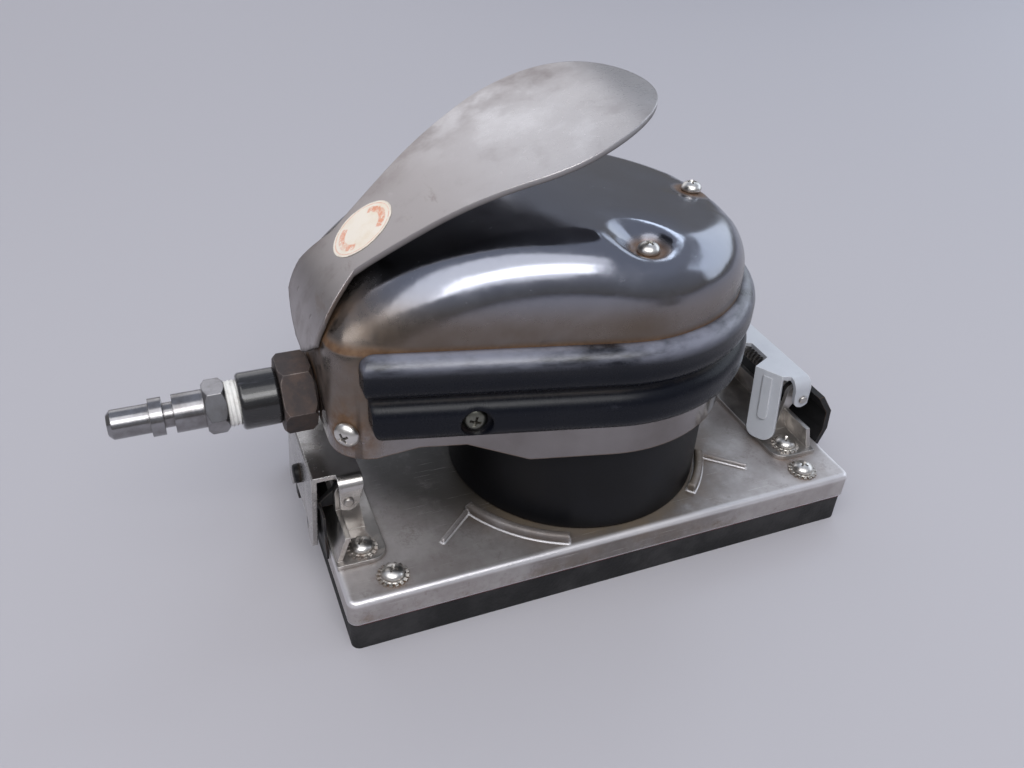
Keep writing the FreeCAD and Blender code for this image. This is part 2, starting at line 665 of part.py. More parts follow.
def rounded_end(rear_x, z0, z1, low_r, high_r):
    """Block across the tool whose rear end has two rounded corners in side view."""
    reach = SHROUD_FRONT_R + 10
    block = box(rear_x, MOTOR_X + reach, -reach, reach, z0, z1)
    corners = [e for e in block.Edges if e.CenterOfMass.x < rear_x + 0.01 and e.Length > reach]
    corners.sort(key=lambda e: e.CenterOfMass.z)
    return block.makeFillet(low_r, corners[:1]).common(block.makeFillet(high_r, corners[1:]))


def bumper_guard():
    upper_z = BUMPER_BASE_Z + BUMPER_RIB_HEIGHT + BUMPER_GROOVE
    web = plan_solid(BUMPER_WEB, BUMPER_BASE_Z + 2, BUMPER_TOP - 2)
    guard = fuse(web, bumper_rib(BUMPER_BASE_Z), bumper_rib(upper_z))
    guard = guard.cut(plan_solid(0, BUMPER_BASE_Z - 1, BUMPER_TOP + 1))
    toe = rounded_end(BUMPER_TOE_X, BUMPER_BASE_Z, BUMPER_TOP, BUMPER_TOE_R, BUMPER_END_R)
    heel = rounded_end(BUMPER_END_X, upper_z, BUMPER_TOP, BUMPER_END_R, BUMPER_END_R)
    guard = guard.common(fuse(toe, heel))
    recess = rod(SCREW_HEAD_R + 0.9, bumper_screw_seat(BUMPER_WEB), 10, side_normal())
    hole = rod(1.6, bumper_screw_seat(-2), 10, side_normal())
    return cut(guard, *(both_sides(recess) + both_sides(hole)))


# ---------------------------------------------------------------- motor housing
def screw_boss(x, y):
    column = rod(4.5, (x, y, FLANGE_Z), BOSS_TOP - FLANGE_Z)
    web = box(min(x, MOTOR_X) - 1.5, max(x, MOTOR_X) + 1.5, min(y, 0) - 1.5, max(y, 0) + 1.5,
              FLANGE_Z, ROTOR_TOP)
    return column.fuse(web)


def valve_block():
    front_x = MOTOR_X - SKIRT_R - 4
    rear = box(BLOCK_REAR_X, front_x, -BLOCK_HALF, BLOCK_HALF, FLANGE_Z, BLOCK_TOP)
    bridge = box(front_x, MOTOR_X - BARREL_R + 3, -BLOCK_HALF, BLOCK_HALF, FLANGE_TOP + CLEARANCE, BLOCK_TOP)
    guide = rod(STEM_GUIDE_R, (STEM_X, 0, BLOCK_TOP - 1), STEM_GUIDE_TOP - BLOCK_TOP + 1)
    out = side_screw_axis()
    lugs = both_sides(rod(4.5, side_screw_seat(-22), 22 - SHROUD_WALL, out))
    return [rear, bridge, guide, lever_lug()] + lugs


def lever_lug():
    """Lug inside the shroud's rear end that carries the throttle lever's pin."""
    rear_x, front_x = BLOCK_REAR_X + 0.6, LEVER_PIVOT_X + 4
    outline = [(rear_x, BLOCK_TOP - 2), (rear_x, LEVER_PIVOT_Z + 1), (LEVER_PIVOT_X - 2, LUG_TOP),
               (LEVER_PIVOT_X + 2, LUG_TOP), (front_x, LEVER_PIVOT_Z + 1), (front_x, BLOCK_TOP - 2)]
    return prism_y(outline, LUG_HALF)


def motor_housing(cavity):
    flange = rod(FLANGE_R, (MOTOR_X, 0, FLANGE_Z), FLANGE_THICKNESS)
    barrel = rod(BARREL_R, (MOTOR_X, 0, FLANGE_Z), HOUSING_TOP - FLANGE_Z)
    bosses = [screw_boss(x, y) for x, y in dome_screw_places()]
    body = fuse(flange, barrel, *(bosses + valve_block())).common(cavity)
    bores = [rod(LINER_R, (MOTOR_X, 0, FLANGE_Z), TOP_PLATE_TOP - FLANGE_Z)]
    bores += [rod(SCREW_SHANK_R, (x, y, BOSS_TOP - 12), 12) for x, y in dome_screw_places()]
    bores.append(rod(4.2, (BLOCK_REAR_X, 0, INLET_Z), MOTOR_X - BARREL_R - 2 - BLOCK_REAR_X, X_AXIS))
    bores.append(rod(BUSHING_SHANK_R, (BLOCK_REAR_X - 1, 0, INLET_Z), 9, X_AXIS))
    bores.append(rod(STEM_CAVITY_R, (STEM_X, 0, STEM_CAVITY_Z), BLOCK_TOP - STEM_CAVITY_Z))
    bores.append(rod(STEM_R + 0.05, (STEM_X, 0, BLOCK_TOP - 1), 60))
    bores.append(rod(LEVER_PIN_R, (LEVER_PIVOT_X, -20, LEVER_PIVOT_Z), 40, Y_AXIS))
    out = side_screw_axis()
    bores += both_sides(rod(SCREW_SHANK_R, side_screw_seat(-13), 14, out))
    return cut(body, *bores)


def stem_top(lever):
    """Height of the stem's rounded tip, just under the lever's sloping face."""
    relief = 0.29 * STEM_TIP_R
    above = lever.common(rod(STEM_R - relief, (STEM_X, 0, BLOCK_TOP), 2 * ROOF_HUMP_RISE))
    return above.BoundBox.ZMin + relief - STEM_GAP


def throttle_stem(lever):
    top = stem_top(lever)
    stem = rod(STEM_R, (STEM_X, 0, STEM_COLLAR_Z), top - STEM_COLLAR_Z)
    tip = [e for e in stem.Edges if e.Vertexes[0].Z > top - 0.01 and e.Closed]
    stem = stem.makeFillet(STEM_TIP_R, tip)
    collar = rod(STEM_CAVITY_R - 0.5, (STEM_X, 0, STEM_COLLAR_Z), 1.5)
    tail = rod(STEM_R - 0.4, (STEM_X, 0, STEM_COLLAR_Z - 6), 6)
    return fuse(stem, collar, tail)


def stem_spring():
    return tube(STEM_CAVITY_R - 0.6, STEM_R + 0.1, (STEM_X, 0, STEM_CAVITY_Z), STEM_COLLAR_Z - STEM_CAVITY_Z)


# ---------------------------------------------------------------- throttle lever
def lever_line():
    """Outer face of the lever in the X-Z plane, from behind the shroud over to the palm end."""
    rear, rise = SHROUD_REAR_X, ROOF_HUMP_Z
    palm_end = (LEVER_SPOON_X + LEVER_SPOON_R + 1, rise + 29.0)
    return [(rear - 3.0, LEVER_END_Z), (rear - 2.2, LEVER_END_Z + 7.5), (rear + 1.0, LEVER_END_Z + 16.0),
            (rear + 6.0, LEVER_END_Z + 22.6), (rear + 21.6, rise - 3.8), (rear + 39.7, rise + 8.4),
            (rear + 67.1, rise + 20.5), (rear + 89.8, rise + 27.8), palm_end]


def lever_sheet(inner, outer, half):
    """Strip that follows the lever's line, from `inner` below it to `outer` above it."""
    line = spline([(x, -half, z) for x, z in lever_line()])
    face = line.extrude(Vector(0, 2 * half, 0))
    up = face.normalAt(*[sum(r) / 2 for r in (face.ParameterRange[:2], face.ParameterRange[2:])])
    sign = 1 if up.z > 0 else -1
    if outer:
        return face.makeOffsetShape(sign * outer, 0.01, fill=True)
    return face.makeOffsetShape(-sign * inner, 0.01, fill=True)


def lever_plan():
    """Spoon outline seen from above: round palm end, narrow neck, wider shoulders."""
    z0, z1 = LEVER_END_Z - 20, ROOF_HUMP_Z + 60
    neck_x = SHROUD_REAR_X + 11.5
    dx = LEVER_SPOON_X - neck_x
    lean = math.asin((LEVER_SPOON_R - LEVER_NECK_HALF) / dx)
    touch_x = LEVER_SPOON_X - LEVER_SPOON_R * math.sin(lean)
    touch_y = LEVER_SPOON_R * math.cos(lean)
    rear_x = LEVER_PIVOT_X - 10
    shoulder_x = SHROUD_REAR_X + 2
    outline = [(touch_x, touch_y), (neck_x, LEVER_NECK_HALF), (shoulder_x, LEVER_SHOULDER_HALF),
               (rear_x, LEVER_SHOULDER_HALF)]
    outline += [(x, -y) for x, y in reversed(outline)]
    neck = prism_z(outline, z0, z1)
    return neck.fuse(rod(LEVER_SPOON_R, (LEVER_SPOON_X, 0, z0), z1 - z0))


def lever_end():
    """Outline seen from behind: the shoulders narrow to a short tail."""
    x0, length = SHROUD_REAR_X - 20, LEVER_SPOON_X + LEVER_SPOON_R + 30 - SHROUD_REAR_X
    wide = LEVER_SPOON_R + 8
    shoulder = LEVER_SHOULDER_HALF + 0.1
    half = [(LEVER_TAIL_HALF, LEVER_END_Z - 20), (LEVER_TAIL_HALF, LEVER_END_Z + 0.5),
            (LEVER_TAIL_HALF + 4.5, LEVER_END_Z + 3), (shoulder, LEVER_END_Z + 9),
            (shoulder, LEVER_END_Z + 13), (wide, LEVER_END_Z + 13), (wide, ROOF_HUMP_Z + 60)]
    outline = half + [(-y, z) for y, z in reversed(half)]
    return sheet_from([(x0, y, z) for y, z in outline], (length, 0, 0))


def lever_ear():
    """Tab turned in through the shroud's rear opening, with the pin hole, on the near side."""
    y0 = -LEVER_EAR_HALF
    rear_x = SHROUD_REAR_X - 2.0
    outline = [(rear_x, LEVER_PIVOT_Z - 3), (rear_x + 1.6, LEVER_PIVOT_Z + 5),
               (LEVER_PIVOT_X, LEVER_PIVOT_Z + LEVER_EYE_R), (LEVER_PIVOT_X, LEVER_PIVOT_Z - LEVER_EYE_R)]
    plate = sheet_from([(x, y0, z) for x, z in outline], (0, LEVER_THICKNESS, 0))
    return plate.fuse(rod(LEVER_EYE_R, (LEVER_PIVOT_X, y0, LEVER_PIVOT_Z), LEVER_THICKNESS, Y_AXIS))


def throttle_lever():
    sheet = lever_sheet(LEVER_THICKNESS, 0, LEVER_SPOON_R + 4).common(lever_plan()).common(lever_end())
    lever = fuse(sheet, *both_sides(lever_ear()))
    return lever.cut(rod(LEVER_PIN_R + PIVOT_CLEARANCE, (LEVER_PIVOT_X, -20, LEVER_PIVOT_Z), 40, Y_AXIS))


def lever_label():
    """Thin oval sticker on the lever's neck."""
    (x0, z0), (x1, z1) = lever_line()[3], lever_line()[4]
    along = Vector(x1 - x0, 0, z1 - z0).normalize()
    up = Vector(-along.z, 0, along.x)
    centre = Vector(0.38 * x0 + 0.62 * x1, 0, 0.38 * z0 + 0.62 * z1)
    oval = Part.Ellipse(centre + along * LABEL_LENGTH / 2, centre + Y_AXIS * LABEL_WIDTH / 2, centre)
    column = Part.Face(Part.Wire([oval.toShape()])).extrude(up * 12)
    column.translate(up * -6)
    return lever_sheet(0, LABEL_THICKNESS, LEVER_SPOON_R).common(column)


# ---------------------------------------------------------------- air inlet
def inlet_bushing():
    head = hexagon(BUSHING_FLATS, (COUPLING_X, 0, INLET_Z), BUSHING_LENGTH)
    shank = rod(BUSHING_SHANK_R, (BUSHING_X - 0.5, 0, INLET_Z), BLOCK_REAR_X + 8 - BUSHING_X + 0.5, X_AXIS)
    bore = rod(4.2, (COUPLING_X - 1, 0, INLET_Z), 60, X_AXIS)
    socket = rod(THREAD_R, (COUPLING_X - 1, 0, INLET_Z), BUSHING_LENGTH - 1, X_AXIS)
    return cut(fuse(head, shank), bore, socket)


def coupling():
    body = rod(COUPLING_R, (COUPLING_X - COUPLING_LENGTH, 0, INLET_Z), COUPLING_LENGTH, X_AXIS)
    ends = [e for e in body.Edges if e.Closed]
    body = body.makeFillet(1.2, ends)
    spigot = rod(THREAD_R, (COUPLING_X - 1, 0, INLET_Z), BUSHING_LENGTH - 1, X_AXIS)
    socket = rod(THREAD_R, (COUPLING_X - COUPLING_LENGTH - 1, 0, INLET_Z), 8, X_AXIS)
    bore = rod(4.2, (COUPLING_X - 30, 0, INLET_Z), 60, X_AXIS)
    return cut(fuse(body, spigot), socket, bore)


def thread_tape():
    start = (COUPLING_X - COUPLING_LENGTH - TAPE_LENGTH, 0, INLET_Z)
    return tube(THREAD_R + TAPE_THICKNESS, THREAD_R, start, TAPE_LENGTH, X_AXIS)


def quick_plug():
    """Quick-connect plug: thread, hexagon, body, locking groove, collar and nose."""
    hex_x = PLUG_HEX_X - PLUG_HEX_LENGTH
    head = hexagon(PLUG_HEX_FLATS, (hex_x, 0, INLET_Z), PLUG_HEX_LENGTH)
    thread = rod(THREAD_R, (PLUG_HEX_X - 0.5, 0, INLET_Z), TAPE_LENGTH + 7.5, X_AXIS)
    pieces = [thread]
    x = hex_x
    stages = [(PLUG_BODY_R, PLUG_BODY_LENGTH), (PLUG_NECK_R, PLUG_NECK_LENGTH),
              (PLUG_COLLAR_R, PLUG_COLLAR_LENGTH)]
    for radius, length in stages:
        x -= length
        pieces.append(rod(radius, (x, 0, INLET_Z), length, X_AXIS))
    tip = 1.2
    x -= PLUG_NOSE_LENGTH
    pieces.append(rod(PLUG_NOSE_R, (x + tip, 0, INLET_Z), PLUG_NOSE_LENGTH - tip, X_AXIS))
    pieces.append(Part.makeCone(PLUG_NOSE_R - tip, PLUG_NOSE_R, tip, Vector(x, 0, INLET_Z), X_AXIS))
    return fuse(head, *pieces).cut(rod(AIR_BORE_R, (x - 1, 0, INLET_Z), 60, X_AXIS))


# ---------------------------------------------------------------- paper clamps (drawn at the +X end)
def pin_hole(radius, half=CLAMP_HALF + 1):
    return rod(radius, (CLAMP_PIN_X, -half, CLAMP_PIN_Z), 2 * half, Y_AXIS)


def side_plate(outline, y_outer, eye_r):
    """Flat ear in the X-Z plane with a rounded eye on the pin, on the near side."""
    plate = sheet_from([(x, -y_outer, z) for x, z in outline], (0, CLAMP_SHEET, 0))
    return plate.fuse(rod(eye_r, (CLAMP_PIN_X, -y_outer, CLAMP_PIN_Z), CLAMP_SHEET, Y_AXIS))


def clamp_bracket(outer_x):
    """Screwed foot with an end wall that leans inwards and two inner ears for the pin."""
    z0, z1 = SHOE_TOP, SHOE_TOP + BRACKET_SHEET
    inner_x = outer_x - BRACKET_DEPTH
    foot = box(inner_x, outer_x, -BRACKET_HALF, BRACKET_HALF, z0, z1)
    corners = [e for e in foot.Edges if abs(e.Vertexes[0].Z - e.Vertexes[1].Z) > 1]
    foot = foot.makeFillet(5, [e for e in corners if e.Vertexes[0].X < inner_x + 1])
    half, top_x = BRACKET_HALF - 2.2, outer_x - BRACKET_LEAN
    outline = [(outer_x, -half, z0), (top_x, -half - 0.6, BRACKET_WALL_Z),
               (top_x, half + 0.6, BRACKET_WALL_Z), (outer_x, half, z0)]
    wall = sheet_from(outline, (-BRACKET_SHEET, 0, 0))
    ear_line = [(CLAMP_PIN_X - 5.5, z0), (CLAMP_PIN_X - EYE_R, CLAMP_PIN_Z),
                (CLAMP_PIN_X + EYE_R, CLAMP_PIN_Z), (top_x, BRACKET_WALL_Z - 1), (outer_x, z0)]
    ear = side_plate(ear_line, BRACKET_EAR_HALF, EYE_R)
    body = fuse(foot, wall, *both_sides(ear))
    screw_x, screw_y = outer_x - BRACKET_SCREW_INSET, BRACKET_SCREW_Y
    holes = both_sides(rod(SCREW_SHANK_R, (screw_x, -screw_y, z0 - 1), 5))
    return cut(body, pin_hole(CLAMP_PIN_R), *holes)


def clamp_pin():
    half = CLAMP_HALF + 0.9
    pin = rod(CLAMP_PIN_R, (CLAMP_PIN_X, -half, CLAMP_PIN_Z), 2 * half, Y_AXIS)
    return pin.makeFillet(0.5, [e for e in pin.Edges if e.Closed])


def clamp_spring():
    length = 2 * (BRACKET_EAR_HALF - CLAMP_SHEET - 5)
    return tube(CLAMP_PIN_R + 1.2, CLAMP_PIN_R, (CLAMP_PIN_X, -length / 2, CLAMP_PIN_Z), length, Y_AXIS)


def rolled_strap(x0, x1):
    """Strap over the pin whose two ends are rolled down into ears with round eyes."""
    low, bend = CLAMP_PIN_Z - EYE_R - 1, CLAMP_BEND_R
    outer = box(x0, x1, -CLAMP_HALF, CLAMP_HALF, low, CLAMP_BAR_Z)
    outer = outer.makeFillet(bend, [e for e in edges_at_height(outer, CLAMP_BAR_Z) if runs_along_x(e)])
    top, half = CLAMP_BAR_Z - CLAMP_SHEET, CLAMP_HALF - CLAMP_SHEET
    inner = box(x0 - 1, x1 + 1, -half, half, low - 1, top)
    inner = inner.makeFillet(bend - CLAMP_SHEET, [e for e in edges_at_height(inner, top) if runs_along_x(e)])
    eye = rod(EYE_R, (CLAMP_PIN_X, -CLAMP_HALF, CLAMP_PIN_Z), 2 * CLAMP_HALF, Y_AXIS)
    side = prism_y([(x0, CLAMP_BAR_Z), (x0, top - 1), (CLAMP_PIN_X - EYE_R, CLAMP_PIN_Z),
                    (CLAMP_PIN_X + EYE_R, CLAMP_PIN_Z), (x1, top - 1), (x1, CLAMP_BAR_Z)], CLAMP_HALF)
    return outer.cut(inner).common(side.fuse(eye))


def runs_along_x(edge):
    return abs(edge.Vertexes[0].X - edge.Vertexes[-1].X) > 1


def finger_leg(top_in, top_out, foot_in):
    """Flat leg bent down from the strap: round end, pressed rib on its upper part."""
    a, b, c = Vector(*top_in), Vector(*top_out), Vector(*foot_in)
    across, down = (b - a).normalize(), (c - a).normalize()
    inward = across.cross(down).normalize()
    if inward.y < 0:
        inward = inward * -1
    leg = sheet_from([a, b, b + (c - a), c], inward * CLAMP_SHEET)
    ends = [e for e in leg.Edges if abs(e.Length - CLAMP_SHEET) < 0.01 and e.CenterOfMass.z < c.z + 2]
    leg = leg.makeFillet(LEG_END_R, ends)
    middle = a + across * ((b - a).Length / 2) + down * 2
    reach = down * ((c - a).Length * LEG_RIB_SHARE)
    half = across * (LEG_RIB_WIDTH / 2)
    sunk = inward * (CLAMP_SHEET / 2)
    left, right = middle - half + sunk, middle + half + sunk
    proud = inward * -(CLAMP_SHEET / 2 + LEG_RIB_HEIGHT)
    pressed = sheet_from([left, right, right + reach, left + reach], proud)
    low = (middle + reach).z + 1.2
    tip = [e for e in pressed.Edges if e.CenterOfMass.z < low and e.Length < LEG_RIB_WIDTH - 0.1]
    return [leg, pressed.makeFillet(LEG_RIB_WIDTH * 0.4, tip)]


def front_clamp_lever():
    """Lever whose two ribbed finger legs splay down on the inboard side."""
    x_in, x_out = CLAMP_PIN_X - 5.2, CLAMP_PIN_X + 2.6
    strap = rolled_strap(x_in + 1.2, x_out)
    top_in, top_out = (x_in - 7.0, -8.6, CLAMP_BAR_Z), (x_in - 1.6, -17.6, CLAMP_BAR_Z)
    foot_in = (x_in - 12.6, -17.6, CLAMP_LEG_Z)
    y_end = CLAMP_HALF - CLAMP_BEND_R
    outline = [(x_out - 1, y_end), (x_in + 1.2, y_end), (top_out[0], -top_out[1]), (top_in[0], -top_in[1]),
               (x_in + 0.5, 5.0)]
    outline += [(x, -y) for x, y in reversed(outline)]
    bar = prism_z(outline, CLAMP_BAR_Z - CLAMP_SHEET, CLAMP_BAR_Z)
    near = finger_leg(top_in, top_out, foot_in)
    body = fuse(strap, bar, *(near + [mirror_y(piece) for piece in near]))
    return body.cut(pin_hole(CLAMP_PIN_R + PIVOT_CLEARANCE))


def rear_clamp_lever():
    """Lever with a wide apron outside the jaw that ends in two short legs."""
    x_in, x_out = CLAMP_PIN_X - 4.9, JAW_FLAT_X + 2.4
    strap = rolled_strap(x_in, CLAMP_PIN_X + 2.6)
    y_end, under = CLAMP_HALF - CLAMP_BEND_R, CLAMP_BAR_Z - CLAMP_SHEET
    bar = box(CLAMP_PIN_X, x_out - 0.5, -y_end, y_end, under, CLAMP_BAR_Z)
    foot_x = x_out + 1.6
    outline = [(x_out - CLAMP_SHEET, under), (x_out - 0.5, CLAMP_BAR_Z), (x_out, CLAMP_BAR_Z - 0.6),
               (foot_x, REAR_LEG_Z), (foot_x - CLAMP_SHEET, REAR_LEG_Z)]
    apron = prism_y(outline, y_end)
    apron_z, opening = REAR_LEG_Z + REAR_APRON_RISE, y_end - REAR_LEG_WIDTH
    gap = box(x_out - 3, foot_x + 1, -opening, opening, REAR_LEG_Z - 1, apron_z)
    corners = [e for e in gap.Edges if e.CenterOfMass.z > apron_z - 0.01 and runs_along_x(e)]
    apron = apron.cut(gap.makeFillet(2, corners))
    feet = [e for e in apron.Edges if e.CenterOfMass.z < REAR_LEG_Z + 0.01 and runs_along_x(e)]
    body = fuse(strap, bar, apron.makeFillet(2, feet))
    return body.cut(pin_hole(CLAMP_PIN_R + PIVOT_CLEARANCE))


def jaw_ear(outer_x, top_z):
    y_outer = BRACKET_EAR_HALF - CLAMP_SHEET - CLEARANCE
    low = BRACKET_WALL_Z + 0.8
    return side_plate([(CLAMP_PIN_X, CLAMP_PIN_Z + EYE_R), (outer_x, top_z), (outer_x, low),
                       (CLAMP_PIN_X + 2.5, low), (CLAMP_PIN_X, CLAMP_PIN_Z - EYE_R)], y_outer, EYE_R)


def front_clamp_jaw():
    """Bent jaw plate that closes on the front bracket's wall."""
    steps = [(6.6, 2.0), (11.6, -5.2), (12.2, -13.4), (10.0, -20.2)]
    line = [(CLAMP_PIN_X + x, CLAMP_PIN_Z + z) for x, z in steps]
    back = [(x - 2.0, z - 0.6) for x, z in reversed(line)]
    plate = prism_y(line + back, FRONT_JAW_HALF)
    body = fuse(plate, *both_sides(jaw_ear(CLAMP_PIN_X + 9.4, CLAMP_PIN_Z - 4.4)))
    return body.cut(pin_hole(CLAMP_PIN_R + PIVOT_CLEARANCE))


def rear_clamp_jaw():
    """Flat jaw plate with two lugs below the rear lever's apron."""
    x0, x1 = JAW_FLAT_X, JAW_FLAT_X + 0.7
    plate = box(x0, x1, -REAR_JAW_HALF, REAR_JAW_HALF, REAR_LEG_Z - 1, BRACKET_WALL_Z + 2.5)
    lug = box(x0, x1 + 2.6, -11.0, -7.4, REAR_LEG_Z - 1.5, REAR_LEG_Z + REAR_APRON_RISE - 1)
    body = fuse(plate, *(both_sides(jaw_ear(x1, BRACKET_WALL_Z + 2.5)) + both_sides(lug)))
    return body.cut(pin_hole(CLAMP_PIN_R + PIVOT_CLEARANCE))


# ---------------------------------------------------------------- fasteners
def shoe_screw_places():
    return [(x * SHOE_SCREW_X, y * SHOE_SCREW_Y) for x in (-1, 1) for y in (-1, 1)]


def bracket_screw_places():
    rows = (FRONT_BRACKET_X - BRACKET_SCREW_INSET, BRACKET_SCREW_INSET - REAR_BRACKET_X)
    return [(x, y * BRACKET_SCREW_Y) for x in rows for y in (-1, 1)]


def toothed_washers():
    seats = [(x, y, SHOE_TOP) for x, y in shoe_screw_places()]
    seats += [(x, y, SHOE_TOP + BRACKET_SHEET) for x, y in bracket_screw_places()]
    return Part.makeCompound([tube(WASHER_R, SCREW_SHANK_R, seat, WASHER_THICKNESS) for seat in seats])


def shoe_screws():
    seat = SHOE_TOP + WASHER_THICKNESS
    return Part.makeCompound([screw((x, y, seat), (0, 0, 1), 6.5) for x, y in shoe_screw_places()])


def bracket_screws():
    seat = SHOE_TOP + BRACKET_SHEET + WASHER_THICKNESS
    return Part.makeCompound([screw((x, y, seat), (0, 0, 1), 8.0) for x, y in bracket_screw_places()])


def dome_screws():
    return Part.makeCompound([screw((x, y, DIMPLE_FLOOR_Z), (0, 0, 1), 11) for x, y in dome_screw_places()])


def side_screws():
    return Part.makeCompound(both_sides(screw(side_screw_seat(0), side_screw_axis(), 12)))


def bumper_screws():
    near = screw(bumper_screw_seat(BUMPER_WEB), side_normal(), BUMPER_WEB + SHROUD_WALL + 2, 3.2, 1.9, 1.5)
    return Part.makeCompound(both_sides(near))


def main():
    os.makedirs("parts", exist_ok=True)
    save("shoe_plate", shoe_plate())
    save("pad_backing", flat_layer(0.4, BACKING_Z, SHOE_Z))
    save("sanding_pad", flat_layer(PAD_INSET, 0, BACKING_Z))
    save("rubber_skirt", rubber_skirt())
    save("shoe_bearing", bearing(BEARING_OUTER_R, SHAFT_R, 0, SHOE_BEARING_Z, BEARING_WIDTH))
    save("bearing_retainer", bearing_retainer())
    save("bearing_lower", bearing(BEARING_OUTER_R, SHAFT_R, MOTOR_X, ROTOR_Z - BEARING_WIDTH, BEARING_WIDTH))
    save("bearing_upper", bearing(TOP_BEARING_OUTER_R, SHAFT_TOP_R, MOTOR_X, ROTOR_TOP, TOP_BEARING_WIDTH))
    save("cylinder_liner", cylinder_liner())
    save("end_plate_lower", end_plate_lower())
    save("end_plate_upper", end_plate_upper())
    save("rotor", rotor())
    save("rotor_vanes", rotor_vanes())
    save("eccentric_shaft", eccentric_shaft())
    cavity = shroud_body(SHROUD_WALL)
    save("shroud_cover", shroud_cover(cavity))
    save("bumper_guard", bumper_guard())
    save("motor_housing", motor_housing(cavity))
    lever = throttle_lever()
    save("throttle_stem", throttle_stem(lever))
    save("stem_spring", stem_spring())
    save("throttle_lever", lever)
    save("lever_label", lever_label())
    pin_half = LEVER_EAR_HALF + 0.8
    save("lever_pin", rod(LEVER_PIN_R, (LEVER_PIVOT_X, -pin_half, LEVER_PIVOT_Z), 2 * pin_half, Y_AXIS))
    save("inlet_bushing", inlet_bushing())
    save("coupling", coupling())
    save("thread_tape", thread_tape())
    save("quick_plug", quick_plug())
    save("front_clamp_bracket", clamp_bracket(FRONT_BRACKET_X))
    save("rear_clamp_bracket", mirror_x(clamp_bracket(REAR_BRACKET_X)))
    save("front_clamp_pin", clamp_pin())
    save("rear_clamp_pin", mirror_x(clamp_pin()))
    save("front_clamp_spring", clamp_spring())
    save("rear_clamp_spring", mirror_x(clamp_spring()))
    save("front_clamp_lever", front_clamp_lever())
    save("rear_clamp_lever", mirror_x(rear_clamp_lever()))
    save("front_clamp_jaw", front_clamp_jaw())
    save("rear_clamp_jaw", mirror_x(rear_clamp_jaw()))
    save("bracket_screws", bracket_screws())
    save("shoe_screws", shoe_screws())
    save("toothed_washers", toothed_washers())
    save("dome_screws", dome_screws())
    save("side_screws", side_screws())
    save("bumper_screws", bumper_screws())


main()
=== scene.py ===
"""Looks of an air-powered orbital sander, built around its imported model."""

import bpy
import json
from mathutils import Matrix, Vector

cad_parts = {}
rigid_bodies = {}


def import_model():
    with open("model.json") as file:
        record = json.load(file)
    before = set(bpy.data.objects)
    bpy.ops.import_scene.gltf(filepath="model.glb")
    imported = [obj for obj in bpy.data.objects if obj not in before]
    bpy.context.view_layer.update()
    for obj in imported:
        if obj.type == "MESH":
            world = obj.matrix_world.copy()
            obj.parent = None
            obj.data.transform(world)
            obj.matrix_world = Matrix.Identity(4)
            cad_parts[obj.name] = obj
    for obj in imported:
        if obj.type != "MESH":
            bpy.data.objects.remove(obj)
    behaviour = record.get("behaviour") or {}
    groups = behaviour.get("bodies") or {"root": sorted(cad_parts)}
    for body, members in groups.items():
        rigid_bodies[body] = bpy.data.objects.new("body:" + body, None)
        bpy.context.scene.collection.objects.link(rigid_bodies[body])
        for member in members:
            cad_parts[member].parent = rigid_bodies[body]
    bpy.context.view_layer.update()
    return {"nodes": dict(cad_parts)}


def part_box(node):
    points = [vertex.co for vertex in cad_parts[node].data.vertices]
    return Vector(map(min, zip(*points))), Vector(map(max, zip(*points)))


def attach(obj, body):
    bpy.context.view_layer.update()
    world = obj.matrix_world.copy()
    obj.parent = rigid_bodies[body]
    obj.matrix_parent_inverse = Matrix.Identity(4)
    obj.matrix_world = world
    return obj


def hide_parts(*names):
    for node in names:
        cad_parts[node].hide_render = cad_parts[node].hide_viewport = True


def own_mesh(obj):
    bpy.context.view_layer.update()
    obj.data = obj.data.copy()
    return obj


bl_info = {
    "name": "Orbital Sander Looks",
    "version": (1, 0, 0),
    "blender": (4, 5, 0),
    "location": "View3D > Sidebar > Sander",
    "description": "Finishes, fasteners, springs, stage and camera for an orbital sander",
    "category": "Object",
}

import json
import math

import bmesh
import bpy
import numpy as np
from mathutils import Matrix, Vector
from mathutils.bvhtree import BVHTree

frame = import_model()

MM = 0.001
X_AXIS, Y_AXIS = Vector((1, 0, 0)), Vector((0, 1, 0))
WASHER_NODE = "toothed_washers"

LAMP_CENTRE, LAMP_DISTANCE = Vector((0, 0, 0.07)), 1.25    # the lamps stand on this sphere
FLOOR_HALF = 4.0
SENSOR_WIDTH = 36.0                                        # of the camera, in millimetres

GRID_STEP, GRID_HALF = 0.7 * MM, 27                        # height samples round a dimple, each way
SOFT_RADIUS, SOFT_DEPTH = 17 * MM, 16 * MM                 # only the shroud this near a screw is evened out
WALL_TOLERANCE, STEP_TOLERANCE = 3.5 * MM, 8 * MM          # keeps the inner wall and steep drops out of it
FLOOR_EDGE, FLOOR_FADE = 4.6 * MM, 2.0 * MM                # the dimple's flat floor stays as it is
OUTER_EDGE, OUTER_FADE = 16.5 * MM, 4.5 * MM               # and so does the open roof

EAR_CORNER = Vector((-6.9, 0, 5.0)) * MM                   # upper corner of the lever's ear, from its pin
STICKER_SHIFT = (2.7 * MM, 1.8 * MM)                       # up the lever and sideways, from the plain label
STICKER_LIFT, STICKER_THICKNESS = 0.14 * MM, 0.1 * MM
BUTTON_LEVEL = 0.565                                       # height of the button, as a share of its lever's

TAPE_DEPTH, RIDGE_DEPTH, LAP_DEPTH = 0.35 * MM, 0.30 * MM, 0.05 * MM


# ---------------------------------------------------------------- shader maths
def operator(operation, reflected=False):
    """Method that adds one Math node, with the value itself first, or second where it is reflected."""
    if reflected:
        return lambda self, other: self.finish.node("ShaderNodeMath", [other, self], operation=operation)
    return lambda self, other: self.math(operation, other)


